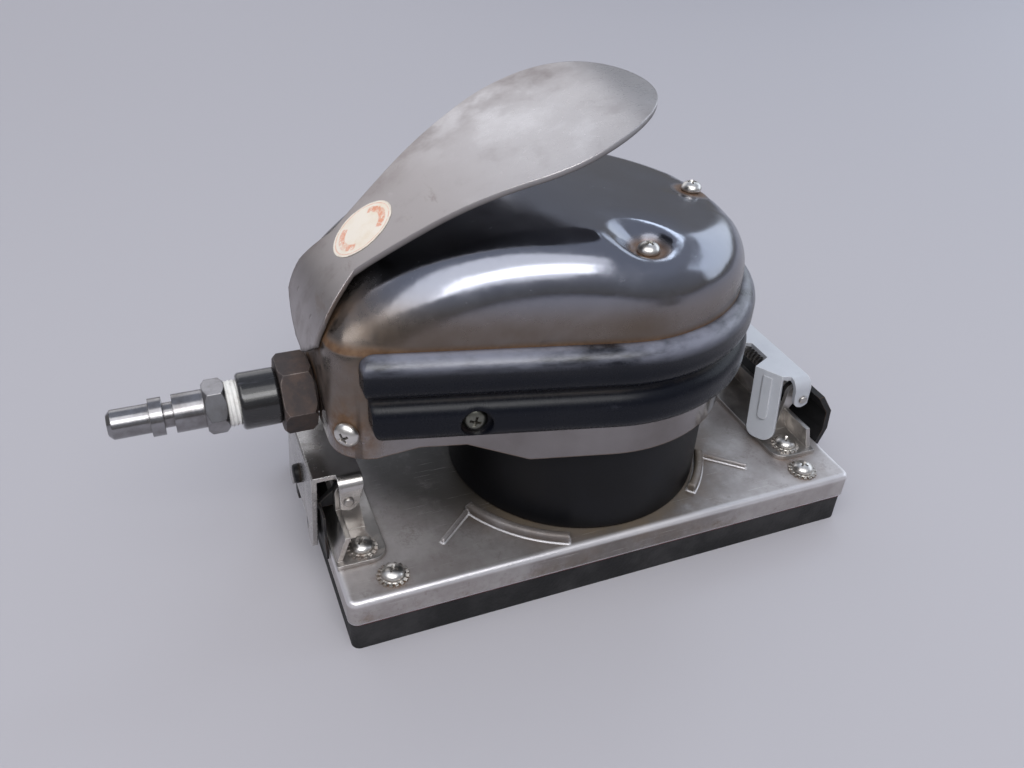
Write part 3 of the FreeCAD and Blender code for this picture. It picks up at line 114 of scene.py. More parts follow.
class Value:
    """One output socket; arithmetic on it adds Math nodes."""

    def __init__(self, finish, socket):
        self.finish = finish
        self.socket = socket

    def math(self, operation, *others):
        return self.finish.node("ShaderNodeMath", [self, *others], operation=operation)

    __add__, __radd__ = operator("ADD"), operator("ADD", reflected=True)
    __sub__, __rsub__ = operator("SUBTRACT"), operator("SUBTRACT", reflected=True)
    __mul__, __rmul__ = operator("MULTIPLY"), operator("MULTIPLY", reflected=True)
    __truediv__, __pow__ = operator("DIVIDE"), operator("POWER")

    def between(self, low, high, from_value=0.0, to_value=1.0):
        """Smooth step from `from_value` at `low` to `to_value` at `high`."""
        return self.finish.node("ShaderNodeMapRange", [self, low, high, from_value, to_value],
                                interpolation_type="SMOOTHSTEP", clamp=True)

    def fading(self, low, high):
        """1 up to `low`, and smoothly down to 0 at `high`."""
        return self.between(low, high, 1.0, 0.0)

    def clip(self):
        return self.math("MAXIMUM", 0.0).math("MINIMUM", 1.0)


def add_node(tree, kind, inputs, settings):
    """New node; an input is linked where a Value or a socket is given for it, and set where a number is."""
    node = tree.nodes.new(kind)
    for key, value in settings.items():
        setattr(node, key, value)
    pairs = inputs.items() if isinstance(inputs, dict) else enumerate(inputs)
    for key, value in pairs:
        source = value.socket if isinstance(value, Value) else value
        if isinstance(source, bpy.types.NodeSocket):
            tree.links.new(source, node.inputs[key])
        elif source is not None:
            node.inputs[key].default_value = source
    return node


class Finish:
    """A material under construction: `node` makes any node, `done` closes it with one shader."""

    def __init__(self, name):
        self.material = bpy.data.materials.new(name)
        self.material.use_nodes = True
        self.tree = self.material.node_tree
        self.tree.nodes.clear()
        self.where = self.node("ShaderNodeTexCoord", out="Object")
        self.x, self.y, self.z = (self.node("ShaderNodeSeparateXYZ", [self.where], out=i) for i in range(3))

    def node(self, kind, inputs=(), out=0, **settings):
        return Value(self, add_node(self.tree, kind, inputs, settings).outputs[out])

    def stretched(self, scale, turn=(0, 0, 0)):
        return self.node("ShaderNodeMapping", {"Vector": self.where, "Rotation": turn, "Scale": scale})

    def cloud(self, size, detail=4.0, roughness=0.55, where=None, seed=0.0):
        """Noise whose blotches are about `size` metres across, from 0 to 1."""
        settings = {"Vector": where or self.where, "W": seed, "Scale": 1 / size, "Detail": detail,
                    "Roughness": roughness}
        return self.node("ShaderNodeTexNoise", settings, noise_dimensions="4D")

    def cells(self, size):
        """Distance from the middle of cells that are about `size` metres across."""
        return self.node("ShaderNodeTexVoronoi", {"Vector": self.where, "Scale": 1 / size}, out="Distance")

    def scratches(self, length, width, turn=(0, 0, 0), threshold=0.62):
        """Thin streaks along X, turned by `turn`, 1 in a scratch."""
        drawn = self.stretched((1 / length, 1 / width, 1 / width), turn)
        streak = self.node("ShaderNodeTexNoise", {"Vector": drawn, "Scale": 1.0, "Detail": 3.0})
        return streak.between(threshold, threshold + 0.08)

    def near(self, point, inner, outer):
        """1 within `inner` of a point, fading to 0 at `outer`."""
        gap = self.node("ShaderNodeVectorMath", [self.where, tuple(point)], out="Value", operation="DISTANCE")
        return gap.fading(inner, outer)

    def edges(self, radius, low=0.004, high=0.06):
        """1 along the hard edges of a solid, 0 on its flats."""
        soft = self.node("ShaderNodeBevel", {"Radius": radius}, samples=6)
        flat = self.node("ShaderNodeNewGeometry", out="Normal")
        match = self.node("ShaderNodeVectorMath", [soft, flat], out="Value", operation="DOT_PRODUCT")
        return (1 - match).between(low, high)

    def crevices(self, reach):
        """1 where other surfaces crowd in within `reach`."""
        open_share = self.node("ShaderNodeAmbientOcclusion", {"Distance": reach}, out="AO", samples=6)
        return 1 - open_share

    def mix(self, share, first, second):
        """Colour mix; each of the two is a colour or a Value."""
        return self.node("ShaderNodeMix", {"Factor": share, 6: rgba(first), 7: rgba(second)}, out=2,
                         data_type="RGBA")

    def bump(self, height, depth, strength=1.0, normal=None):
        return self.node("ShaderNodeBump", {"Height": height, "Distance": depth, "Strength": strength,
                                            "Normal": normal})

    def rounded(self, radius):
        return self.node("ShaderNodeBevel", {"Radius": radius}, samples=6)

    def done(self, **sockets):
        shader = self.node("ShaderNodeBsdfPrincipled", {k.replace("_", " "): v for k, v in sockets.items()})
        output = self.tree.nodes.new("ShaderNodeOutputMaterial")
        self.tree.links.new(shader.socket, output.inputs["Surface"])
        return self.material


def rgba(colour):
    """A colour property or tuple with its alpha; sockets pass through."""
    return colour if isinstance(colour, Value) else (*tuple(colour)[:3], 1.0)


# ---------------------------------------------------------------- sizes and colours
def tint(label, what, default):
    return bpy.props.FloatVectorProperty(name=label, description=what, subtype="COLOR", size=3, min=0, max=1,
                                         default=default)


def length(label, what, default_mm):
    return bpy.props.FloatProperty(name=label, description=what, default=default_mm * MM, unit="LENGTH",
                                   precision=5)


def angle(label, what, degrees):
    return bpy.props.FloatProperty(name=label, description=what, subtype="ANGLE",
                                   default=math.radians(degrees))


class SanderColours(bpy.types.PropertyGroup):
    shell: tint("Shell", "Polished plating of the shroud", (0.295, 0.275, 0.272))
    shell_dark: tint("Shell dark", "Dull patches of the shroud", (0.205, 0.185, 0.178))
    # painted reflection: bluish tint standing for the sky mirrored on the shroud's roof
    roof_sky_reflection: tint("Shell roof", "Blued plating on the roof of the shroud", (0.235, 0.255, 0.31))
    # painted shade: darker, browner tint low on the wall, standing for the dark surroundings it mirrors
    wall_shade_tint: tint("Shell side", "Smoked plating low on the shroud's wall", (0.165, 0.132, 0.106))
    rust: tint("Rust", "Brown rust and old oil", (0.115, 0.060, 0.030))
    lever: tint("Lever", "Satin steel of the throttle lever", (0.56, 0.54, 0.54))
    tarnish: tint("Tarnish", "Brownish tarnish of the handled steel", (0.31, 0.27, 0.26))
    shoe: tint("Shoe", "Worn cast aluminium of the shoe", (0.50, 0.475, 0.475))
    grime: tint("Grime", "Dark grease in the corners", (0.050, 0.038, 0.030))
    rubber: tint("Rubber", "Black rubber of the skirt and pad", (0.005, 0.005, 0.006))
    bumper: tint("Bumper", "Blue-black rubber of the bumper", (0.004, 0.005, 0.009))
    cloth: tint("Backing", "Dark red cloth behind the pad", (0.17, 0.026, 0.024))
    zinc: tint("Zinc", "Plating of the screws", (0.66, 0.64, 0.61))
    dull_zinc: tint("Dull zinc", "Greened plating of the bumper's screws", (0.17, 0.17, 0.145))
    nickel: tint("Nickel", "Plating of the air plug", (0.31, 0.305, 0.315))
    tape: tint("Tape", "White thread tape", (0.78, 0.77, 0.74))
    black: tint("Black", "Black enamel of the coupling and jaws", (0.009, 0.009, 0.010))
    bushing: tint("Bushing", "Oxidised steel of the inlet bushing", (0.052, 0.043, 0.043))
    clamp: tint("Front clamp", "Satin zinc of the front clamp lever", (0.52, 0.54, 0.58))
    bright: tint("Rear clamp", "Brighter steel of the rear clamp and brackets", (0.56, 0.54, 0.52))
    sticker: tint("Sticker", "Cream face of the sticker", (0.82, 0.75, 0.65))
    sticker_print: tint("Sticker print", "Faded orange of the sticker's rim", (0.72, 0.26, 0.14))
    floor: tint("Floor", "Pale floor", (0.44, 0.428, 0.455))


class SanderSizes(bpy.types.PropertyGroup):
    washer_teeth: bpy.props.IntProperty(name="Washer teeth", description="Teeth on each washer", default=16)
    tooth_twist: angle("Tooth twist", "Twist of each washer tooth", 24)
    cross_width: length("Cross width", "Width of a screw's cross slot", 0.95)
    cross_depth: length("Cross depth", "Depth of a screw's cross slot", 1.3)
    spring_wire: length("Spring wire", "Wire diameter of the clamp springs", 0.9)
    spring_turns: bpy.props.IntProperty(name="Spring turns", description="Turns of a clamp spring",
                                        default=12)
    thread_pitch: length("Thread pitch", "Pitch of the taped pipe thread", 1.2)
    button_radius: length("Button radius", "Radius of the button on the rear clamp's lever", 3.1)
    button_rise: length("Button rise", "How far the button stands out", 2.1)
    button_inset: length("Button inset", "From the lever's rearmost edge in to the button's seat", 1.0)
    stem_wire: length("Stem wire", "Wire of the spring under the valve stem", 0.9)
    stem_drop: length("Stem drop", "How far the lever presses the valve stem", 2.8)
    dimple_softness: length("Dimple softness", "How far the rims of the dimples are rolled off", 2.5)
    sticker_length: length("Sticker length", "Length of the oval sticker along the lever", 20.6)
    sticker_width: length("Sticker width", "Width of the oval sticker", 19.0)
    camera_turn: angle("Camera azimuth", "Turn of the camera round the tool", -23.65)
    camera_rise: angle("Camera elevation", "Camera angle above the floor", 35.18)
    camera_roll: angle("Camera roll", "Tilt of the camera about its view", 3.14)
    camera_reach: length("Camera distance", "Distance from the camera to its target", 387.64)
    camera_lens: bpy.props.FloatProperty(name="Lens", description="Focal length in millimetres",
                                         subtype="DISTANCE_CAMERA", default=32.54)
    camera_target: bpy.props.FloatVectorProperty(name="Camera target", subtype="XYZ", unit="LENGTH",
                                                 description="Point the camera looks at",
                                                 default=(0.00548, 0.06121, 0.0046))


def colours():
    return bpy.context.scene.sander_colours


def sizes():
    return bpy.context.scene.sander_sizes


# ---------------------------------------------------------------- mesh helpers
def dress(material, *nodes):
    """Gives CAD nodes a finish; their shapes stay as they are."""
    for name in nodes:
        for slot in frame["nodes"][name].material_slots:
            slot.material = material


def add_object(name, mesh, material=None):
    piece = bpy.data.objects.new(name, mesh)
    bpy.context.scene.collection.objects.link(piece)
    if material:
        mesh.materials.clear()
        mesh.materials.append(material)
    return piece


def to_mesh(name, work, smooth=True):
    """Mesh made from a bmesh, which is freed."""
    for face in work.faces:
        face.smooth = smooth
    mesh = bpy.data.meshes.new(name)
    work.to_mesh(mesh)
    work.free()
    return mesh


def from_bmesh(name, work, smooth=True):
    """The same, once its double points are merged and its faces look outward."""
    bmesh.ops.remove_doubles(work, verts=work.verts, dist=1e-7)
    bmesh.ops.recalc_face_normals(work, faces=work.faces)
    return to_mesh(name, work, smooth)


def copied(node):
    """Bmesh of a CAD node, with the seams between its faces closed."""
    work = bmesh.new()
    work.from_mesh(frame["nodes"][node].data)
    bmesh.ops.remove_doubles(work, verts=work.verts, dist=1e-6)
    return work


def baked(host):
    """Plain mesh of an object with its modifiers applied."""
    graph = bpy.context.evaluated_depsgraph_get()
    return bpy.data.meshes.new_from_object(host.evaluated_get(graph), depsgraph=graph)


def revolve(work, profile, steps=48):
    """Closed profile of (radius, height) pairs turned about Z."""
    rows = []
    for radius, height in profile:
        if radius == 0:
            rows.append([work.verts.new((0, 0, height))] * steps)
            continue
        angles = [2 * math.pi * i / steps for i in range(steps)]
        rows.append([work.verts.new((radius * math.cos(a), radius * math.sin(a), height)) for a in angles])
    for low, high in zip(rows, rows[1:]):
        for i in range(steps):
            corners = [low[i], low[(i + 1) % steps], high[(i + 1) % steps], high[i]]
            distinct = list(dict.fromkeys(corners))
            if len(distinct) > 2:
                work.faces.new(distinct)


def sharpen(mesh, degrees=40):
    """Keeps hard edges hard on a smooth-shaded mesh."""
    mesh.set_sharp_from_angle(angle=math.radians(degrees))


def extent(points):
    """Lowest and highest corner of the box round some points."""
    return [Vector([pick(p[i] for p in points) for i in range(3)]) for pick in (min, max)]


def place(points):
    """Middle of the points' box from above, to the millimetre."""
    low, high = extent(points)
    return round((low.x + high.x) / 2, 3), round((low.y + high.y) / 2, 3)


def islands(node):
    """Vertex positions of each separate solid of a CAD node, in the order of their places."""
    work = copied(node)
    left, groups = dict.fromkeys(work.verts), []
    while left:
        edge, group = [left.popitem()[0]], []
        while edge:
            vert = edge.pop()
            group.append(vert.co.copy())
            for link in vert.link_edges:
                other = link.other_vert(vert)
                if other in left:
                    del left[other]
                    edge.append(other)
        groups.append(group)
    work.free()
    return sorted(groups, key=place)


# ---------------------------------------------------------------- geometry nodes
def ease(t):
    """Smooth step from 0 to 1."""
    t = min(max(t, 0.0), 1.0)
    return t * t * (3 - 2 * t)


class Recipe:
    """A Geometry Nodes tree with named inputs, ended by Realize Instances and Set Material."""

    kinds = {"Float": "NodeSocketFloat", "Int": "NodeSocketInt", "Object": "NodeSocketObject",
             "Material": "NodeSocketMaterial"}

    def __init__(self, name, **inputs):
        self.tree = bpy.data.node_groups.new(name, "GeometryNodeTree")
        face = self.tree.interface
        face.new_socket("Geometry", in_out="INPUT", socket_type="NodeSocketGeometry")
        face.new_socket("Geometry", in_out="OUTPUT", socket_type="NodeSocketGeometry")
        self.ids = {}
        for label, kind in {**inputs, "Finish": "Material"}.items():
            socket = face.new_socket(label, in_out="INPUT", socket_type=self.kinds[kind])
            self.ids[label] = socket.identifier
        self.entry = self.tree.nodes.new("NodeGroupInput")

    def given(self, label):
        return next(s for s in self.entry.outputs if s.name == label)

    def node(self, kind, inputs=(), out=0, **settings):
        return add_node(self.tree, kind, inputs, settings).outputs[out]

    def maths(self, operation, first, second):
        return self.node("ShaderNodeMath", [first, second], operation=operation)

    def vector(self, x, y, z):
        return self.node("ShaderNodeCombineXYZ", [x, y, z])

    def join(self, *parts):
        node = self.tree.nodes.new("GeometryNodeJoinGeometry")
        for part in parts:
            self.tree.links.new(part, node.inputs[0])
        return node.outputs[0]

    def finish(self, geometry):
        real = self.node("GeometryNodeRealizeInstances", [geometry])
        done = self.node("GeometryNodeSetMaterial", {"Geometry": real, "Material": self.given("Finish")})
        exit_node = self.tree.nodes.new("NodeGroupOutput")
        self.tree.links.new(done, exit_node.inputs[0])

    def make(self, name, seeds, **values):
        """Runs the recipe on a mesh of seed points and returns a plain mesh object."""
        host = add_object(name + "_seeds", seeds)
        modifier = host.modifiers.new("recipe", "NODES")
        modifier.node_group = self.tree
        for label, value in values.items():
            modifier[self.ids[label]] = value
        host.update_tag()
        mesh = baked(host)
        host.modifiers.clear()
        bpy.data.objects.remove(host)
        mesh.name = name
        return add_object(name, mesh)


def seed_points(name, places, facings=None):
    """Mesh of loose points, each with the way its copy faces."""
    mesh = bpy.data.meshes.new(name)
    mesh.from_pydata([tuple(p) for p in places], [], [])
    facing = mesh.attributes.new("facing", "FLOAT_VECTOR", "POINT")
    for i, item in enumerate(facing.data):
        item.vector = tuple(facings[i]) if facings else (0, 0, 1)
    return mesh


# ---------------------------------------------------------------- finishes
def steel(name, tint_colour, shade, roughness, grain=0.00025, rust=0.0, brushed=None, edge=0.00035):
    """Plain steel: mottled tint, fine grain or brush lines, bright worn edges, a little rust."""
    f = Finish(name)
    patch = f.cloud(0.014, 5)
    speck = f.cloud(0.0022, 4, 0.7, seed=2.0)
    colour = f.mix(patch.between(0.35, 0.7), tint_colour, shade)
    colour = f.mix(f.edges(edge) * 0.5, colour, (0.80, 0.79, 0.77))
    stain = (f.cloud(0.009, 6, 0.7, seed=5.0).between(0.62 - 0.2 * rust, 0.78 - 0.1 * rust) * rust
             + f.crevices(0.002) * rust * 0.5).clip()
    colour = f.mix(stain, colour, colours().rust)
    lines = f.cloud(grain, 3, where=f.stretched(brushed)) if brushed else f.cloud(grain, 3)
    rough = roughness + 0.12 * (speck - 0.5) + 0.10 * (patch - 0.5) + 0.4 * stain
    return f.done(Base_Color=colour, Metallic=1 - 0.8 * stain, Roughness=rough.clip(),
                  Normal=f.bump(lines, 0.00002, 0.35, f.rounded(edge)))


def screw_metal(name, plating):
    """Screw plating with grime in the cross slot and dull spots."""
    f = Finish(name)
    speck = f.cloud(0.0012, 4, 0.7)
    dirt = (f.crevices(0.0012).between(0.25, 0.8) * 0.9 + speck.between(0.62, 0.8) * 0.35).clip()
    colour = f.mix(dirt, plating, colours().grime)
    return f.done(Base_Color=colour, Metallic=1 - 0.6 * dirt, Roughness=0.2 + 0.25 * speck + 0.3 * dirt,
                  Normal=f.bump(speck, 0.00003, 0.4))


def round_screws(f, nodes, inner, outer):
    """1 round each screw of the nodes, fading out by `outer` from its middle."""
    share = None
    for node in nodes:
        for solid in islands(node):
            spot = f.near(sum(solid, Vector()) / len(solid), inner, outer)
            share = spot if share is None else share + spot
    return share.clip()


def shell_finish():
    """Polished shroud: smoky plating, hazy patches, a painted sky reflection on the roof, painted shade low
    on the wall, grime round its screws and along the bumper.
    """
    f = Finish("polished_shell")
    c = colours()
    low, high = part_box("shroud_cover")
    guard_low, guard_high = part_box("bumper_guard")
    patch = f.cloud(0.05, 5, 0.6)
    haze = f.cloud(0.011, 6, 0.7, seed=3.0)
    speck = f.cloud(0.0018, 4, 0.75, seed=7.0)
    colour = f.mix(patch.between(0.36, 0.66), c.shell, c.shell_dark)
    # painted reflection: the roof is tinted bluer, as if it mirrored the sky
    roof = f.z.between(high.z - 0.022, high.z - 0.010)
    colour = f.mix(roof * 0.75, colour, c.roof_sky_reflection)
    # painted shade: the low band of the wall, just above the bumper, is darkened and browned
    side = f.z.fading(guard_high.z + 0.004, guard_high.z + 0.014)
    side = side * f.z.between(guard_low.z, guard_low.z + 0.004)
    colour = f.mix(side * (0.45 + 0.55 * patch.between(0.3, 0.6)), colour, c.wall_shade_tint)
    brim = f.z.fading(guard_high.z - 0.0006, guard_high.z + 0.0022)
    brim = brim * f.z.between(guard_high.z - 0.002, guard_high.z - 0.001)
    lip_edge = f.edges(0.0007) * f.z.fading(guard_low.z - 0.002, guard_low.z)
    tail = f.x.fading(low.x + 0.004, low.x + 0.022) * haze.between(0.40, 0.72) * 0.55
    rings = round_screws(f, ("dome_screws",), 0.0042, 0.0072) * haze.between(0.18, 0.5) * 0.9
    halo = round_screws(f, ("side_screws",), 0.004, 0.0125) * haze.between(0.28, 0.6) * 0.8
    gap = f.crevices(0.003).between(0.30, 0.65) * 0.75
    spots = speck.between(0.74, 0.84) * 0.3
    rust = (rings + halo + gap + tail + lip_edge * 0.8 + brim * (0.6 + haze) + spots).clip()
    brown = f.mix(speck.between(0.35, 0.7), c.rust, (0.17, 0.10, 0.055))
    colour = f.mix(rust, colour, brown)
    lines = f.scratches(0.02, 0.0005, (0.3, 0.4, 0.2), 0.66)
    rough = 0.14 + 0.12 * haze.between(0.35, 0.75) + 0.07 * lines + 0.12 * side + 0.35 * rust
    wave = f.cloud(0.018, 2, 0.4, seed=9.0) + 0.02 * speck
    return f.done(Base_Color=colour, Metallic=1 - 0.75 * rust, Roughness=rough.clip(),
                  Normal=f.bump(wave, 0.00016, 0.5, f.rounded(0.0005)))


def lever_finish():
    """Satin lever: tarnished neck, cloudy polished spoon, painted shade on its downward faces, long soft
    scratches, brown specks.
    """
    f = Finish("satin_lever")
    c = colours()
    low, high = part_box("throttle_lever")
    cloudy = f.cloud(0.022, 5, 0.62, seed=1.0)
    smear = f.cloud(0.008, 6, 0.7, where=f.stretched((1.0, 0.35, 1.0), (0, 0, 0.5)), seed=4.0)
    speck = f.cloud(0.0014, 4, 0.7, seed=6.0)
    neck = f.x.fading(low.x + 0.030, low.x + 0.068)
    far_side = f.y.between(0.004, 0.024)
    stain = (neck * 0.55 + far_side * cloudy.between(0.35, 0.6) * 0.55
             + cloudy.between(0.52, 0.72) * 0.45).clip()
    colour = f.mix(stain, c.lever, c.tarnish)
    colour = f.mix(smear.between(0.56, 0.8) * 0.45, colour, (0.74, 0.73, 0.74))
    bloom = cloudy.fading(0.36, 0.50) * (1 - neck) * 0.32
    colour = f.mix(bloom, colour, (0.76, 0.75, 0.76))
    # painted shade: faces that look downward are darkened nearly to black
    under = f.node("ShaderNodeAttribute", attribute_name="under", out="Fac")
    colour = f.mix(under * 0.8, colour, (0.10, 0.092, 0.086))
    brown = (speck.between(0.66, 0.8) * 0.4
             + smear.between(0.40, 0.30) * neck.between(0.0, 0.6) * 0.35
             + f.crevices(0.002).between(0.4, 0.9) * 0.5).clip()
    colour = f.mix(brown, colour, c.rust)
    lines = f.scratches(0.03, 0.0004, (0, 0.2, 0.35), 0.6) + f.scratches(0.02, 0.0004, (0, -0.3, -0.6), 0.66)
    rough = 0.26 + 0.14 * stain + 0.10 * smear - 0.06 * lines - 0.05 * bloom + 0.2 * under
    wave = f.cloud(0.03, 2, 0.4, seed=9.0) + 0.015 * lines + 0.02 * speck
    return f.done(Base_Color=colour, Metallic=1 - 0.5 * brown, Roughness=rough.clip(),
                  Normal=f.bump(wave, 0.0003, 0.5, f.rounded(0.0005)))


def shoe_finish():
    """Cast shoe: pale oxide, oil round the skirt, painted shade round the skirt, a painted shadow under the
    shroud's tail, brown specks, scratches, a rubbed rim painted brighter as a highlight.
    """
    f = Finish("worn_cast_shoe")
    c = colours()
    low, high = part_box("shoe_plate")
    patch = f.cloud(0.030, 6, 0.65)
    haze = f.cloud(0.010, 6, 0.7, seed=3.0)
    speck = f.cloud(0.0010, 4, 0.75, seed=5.0)
    drops = f.cloud(0.0035, 4, 0.6, seed=8.0)
    colour = f.mix(patch.between(0.36, 0.66), c.shoe, (0.33, 0.30, 0.295))
    colour = f.mix(haze.between(0.5, 0.62) * speck.between(0.4, 0.6) * 0.5, colour, (0.25, 0.22, 0.21))
    skirt_low, skirt_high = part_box("rubber_skirt")
    middle = ((skirt_low + skirt_high) / 2).xy.to_3d() + Vector((0, 0, skirt_low.z))
    # painted shadow: near-black patch on the shoe under the shroud's tail
    tail_shadow = f.near(middle + Vector((-0.040, 0.016, 0)), 0.028, 0.052) * (0.65 + 0.35 * haze.between(0.2, 0.5))
    # painted shade: the shoe round the skirt is darkened as if shaded by the shroud
    shade = f.near(middle, 0.046, 0.078) * (0.55 + 0.45 * patch.between(0.3, 0.6))
    oil = f.near(middle, 0.045, 0.060) * haze.between(0.28, 0.56) * 0.8
    seats = round_screws(f, ("bracket_screws", "shoe_screws"), 0.004, 0.010)
    oil = oil + seats * haze.between(0.34, 0.66) * 0.5
    foot = f.z.fading(low.z + 0.001, low.z + 0.006) * haze.between(0.44, 0.7) * 0.6
    oil = (oil + foot + f.crevices(0.004).between(0.12, 0.7) * 0.8 + speck.between(0.68, 0.80) * 0.5
           + drops.between(0.64, 0.76) * 0.45 + haze.between(0.62, 0.80) * 0.4).clip()
    brown = f.mix(haze.between(0.35, 0.65), c.grime, (0.15, 0.09, 0.050))
    colour = f.mix(oil, colour, brown)
    ring = f.near(middle, 0.0445, 0.0485) * haze.between(0.22, 0.5)
    colour = f.mix(ring * 0.8, colour, (0.17, 0.115, 0.045))
    # painted shade round the skirt
    colour = f.mix(shade * 0.75, colour, (0.13, 0.118, 0.112))
    # painted shadow under the shroud's tail
    colour = f.mix(tail_shadow * 0.92, colour, (0.016, 0.014, 0.012))
    ribs = f.z.between(skirt_low.z + 0.0003, skirt_low.z + 0.0006)
    # rubbed edges, painted brighter as a highlight along them
    rim = f.edges(0.0012, 0.006, 0.10) * haze.between(0.10, 0.36) * (1 - 0.85 * ribs)
    # painted highlight: a bright line along the top of the shoe's outer faces
    side = (f.y.math("ABSOLUTE").between(high.y - 0.0024, high.y - 0.0006)
            + f.x.math("ABSOLUTE").between(high.x - 0.0024, high.x - 0.0006)).clip()
    edge_highlight = side * f.z.between(skirt_low.z - 0.0029, skirt_low.z - 0.0015) * haze.between(0.22, 0.42)
    rim = (rim + 0.6 * edge_highlight).clip()
    # rubbed metal and painted highlight, near white along the rim
    colour = f.mix(rim * 0.9, colour, (0.95, 0.94, 0.97))
    lines = f.scratches(0.016, 0.0003, (0, 0, 0.4), 0.66) + f.scratches(0.022, 0.0003, (0, 0, -0.9), 0.68)
    colour = f.mix(lines.clip() * 0.3, colour, (0.80, 0.78, 0.77))
    rough = 0.33 + 0.14 * haze + 0.12 * oil - 0.06 * lines - 0.08 * rim
    height = 0.5 * speck + 0.25 * haze - 0.08 * lines - 0.4 * f.cells(0.004).fading(0.05, 0.2)
    metal = (0.62 - 0.45 * oil - 0.4 * tail_shadow + 0.25 * rim).clip()
    return f.done(Base_Color=colour, Metallic=metal, Roughness=rough.clip(),
                  Normal=f.bump(height, 0.00012, 0.6, f.rounded(0.0011)))


def rubber(name, tint_colour, roughness, dust, crown=None, grain=0.0009, depth=0.00004, soft=0.0004):
    """Black rubber: fine grain, dust in its grooves, chalky bloom and a painted sheen above the height
    `crown`.
    """
    f = Finish(name)
    patch = f.cloud(0.02, 5, 0.6)
    fine = f.cloud(grain, 5, 0.7, seed=4.0)
    streak = f.cloud(0.007, 5, 0.65, where=f.stretched((0.25, 0.25, 1.0)), seed=2.0)
    colour = f.mix(patch.between(0.4, 0.75) * 0.4, tint_colour, (0.010, 0.011, 0.015))
    rough = roughness + 0.14 * (patch - 0.5) + 0.12 * (fine - 0.5)
    gloss = 0.0
    if crown:
        gloss = f.z.between(crown - 0.007, crown) * (0.35 + 0.5 * streak.between(0.3, 0.7))
        # chalky bloom with a painted bluish sheen along the crown
        chalk_and_sheen = f.z.between(crown - 0.004, crown) * streak.between(0.34, 0.62) * patch.between(0.25, 0.5)
        chalk_and_sheen = (chalk_and_sheen + streak.between(0.60, 0.76) * 0.12).clip()
        colour = f.mix(chalk_and_sheen * 0.75, colour, (0.24, 0.25, 0.31))
        rough = rough + 0.12 * chalk_and_sheen
    soil = (f.crevices(0.003).between(0.2, 0.8) * patch.between(0.3, 0.6) * dust
            + fine.between(0.68, 0.85) * dust * 0.4).clip()
    colour = f.mix(soil, colour, (0.12, 0.085, 0.060))
    return f.done(Base_Color=colour, Roughness=(rough + 0.3 * soil).clip(), Specular_IOR_Level=0.2,
                  Coat_Weight=gloss, Coat_Roughness=0.26, Normal=f.bump(fine, depth, 0.6, f.rounded(soft)))


def satin_zinc():
    """Dull blue-grey zinc of the front clamp: even, lightly specked, paler on its bends."""
    f = Finish("satin_zinc")
    c = colours()
    patch = f.cloud(0.012, 5, 0.6)
    speck = f.cloud(0.0016, 4, 0.7, seed=2.0)
    colour = f.mix(patch.between(0.38, 0.70) * 0.6, c.clamp, (0.44, 0.455, 0.50))
    colour = f.mix(f.edges(0.0004) * 0.6, colour, (0.80, 0.81, 0.84))
    soil = (f.crevices(0.002).between(0.3, 0.8) * 0.5 + speck.between(0.66, 0.8) * 0.5
            + patch.between(0.66, 0.8) * 0.35).clip()
    colour = f.mix(soil, colour, c.grime)
    return f.done(Base_Color=colour, Metallic=0.15 - 0.15 * soil, Roughness=0.34 + 0.10 * patch + 0.3 * soil,
                  Normal=f.bump(speck, 0.00002, 0.4, f.rounded(0.0004)))


def pad_finish():
    """Dense foam pad: closed-cell face, slightly greyed by dust."""
    f = Finish("foam_pad")
    cell = f.cells(0.0011)
    patch = f.cloud(0.02, 5, 0.65)
    colour = f.mix(patch.between(0.4, 0.72) * 0.6, colours().rubber, (0.050, 0.048, 0.050))
    return f.done(Base_Color=colour, Roughness=0.72 + 0.2 * patch,
                  Normal=f.bump(cell, 0.00018, 0.7, f.rounded(0.0004)))


def cloth_finish():
    f = Finish("backing_cloth")
    weave = (f.x * 4200).math("SINE") * (f.y * 4200).math("SINE") + (f.z * 4200).math("SINE")
    fade = f.cloud(0.012, 4)
    colour = f.mix(fade.between(0.42, 0.7), colours().cloth, (0.050, 0.014, 0.012))
    return f.done(Base_Color=colour, Roughness=0.85 + 0.1 * fade, Normal=f.bump(weave, 0.00004, 0.5))


def enamel(name, roughness, chips, gloss=0.12):
    """Black enamel, rubbed in streaks that are painted paler as a sheen, and chipped to bare steel along its
    edges.
    """
    f = Finish(name)
    patch = f.cloud(0.010, 5, 0.65)
    streak = f.cloud(0.0022, 4, 0.6, where=f.stretched((0.12, 1.0, 1.0)), seed=5.0)
    chip = (f.edges(0.0004, 0.01, 0.1) * patch.between(0.44, 0.6) * chips
            + patch.between(0.70, 0.76) * chips * 0.6).clip()
    colour = f.mix(patch.between(0.4, 0.7) * 0.4, colours().black, (0.016, 0.015, 0.015))
    # rubbed streaks, painted paler and bluer as a sheen, more so the glossier the enamel
    colour = f.mix(streak.between(0.52, 0.75) * gloss * 0.5, colour, (0.20, 0.20, 0.25))
    colour = f.mix(chip, colour, f.mix(patch.between(0.4, 0.6), (0.42, 0.40, 0.38), colours().rust))
    rough = roughness + 0.15 * patch + 0.15 * chip + 0.12 * streak.between(0.4, 0.7)
    return f.done(Base_Color=colour, Metallic=chip * 0.8, Roughness=rough.clip(), Specular_IOR_Level=0.3,
                  Coat_Weight=gloss * (1 - chip), Coat_Roughness=0.12,
                  Normal=f.bump(patch, 0.00004, 0.4, f.rounded(0.0004)))


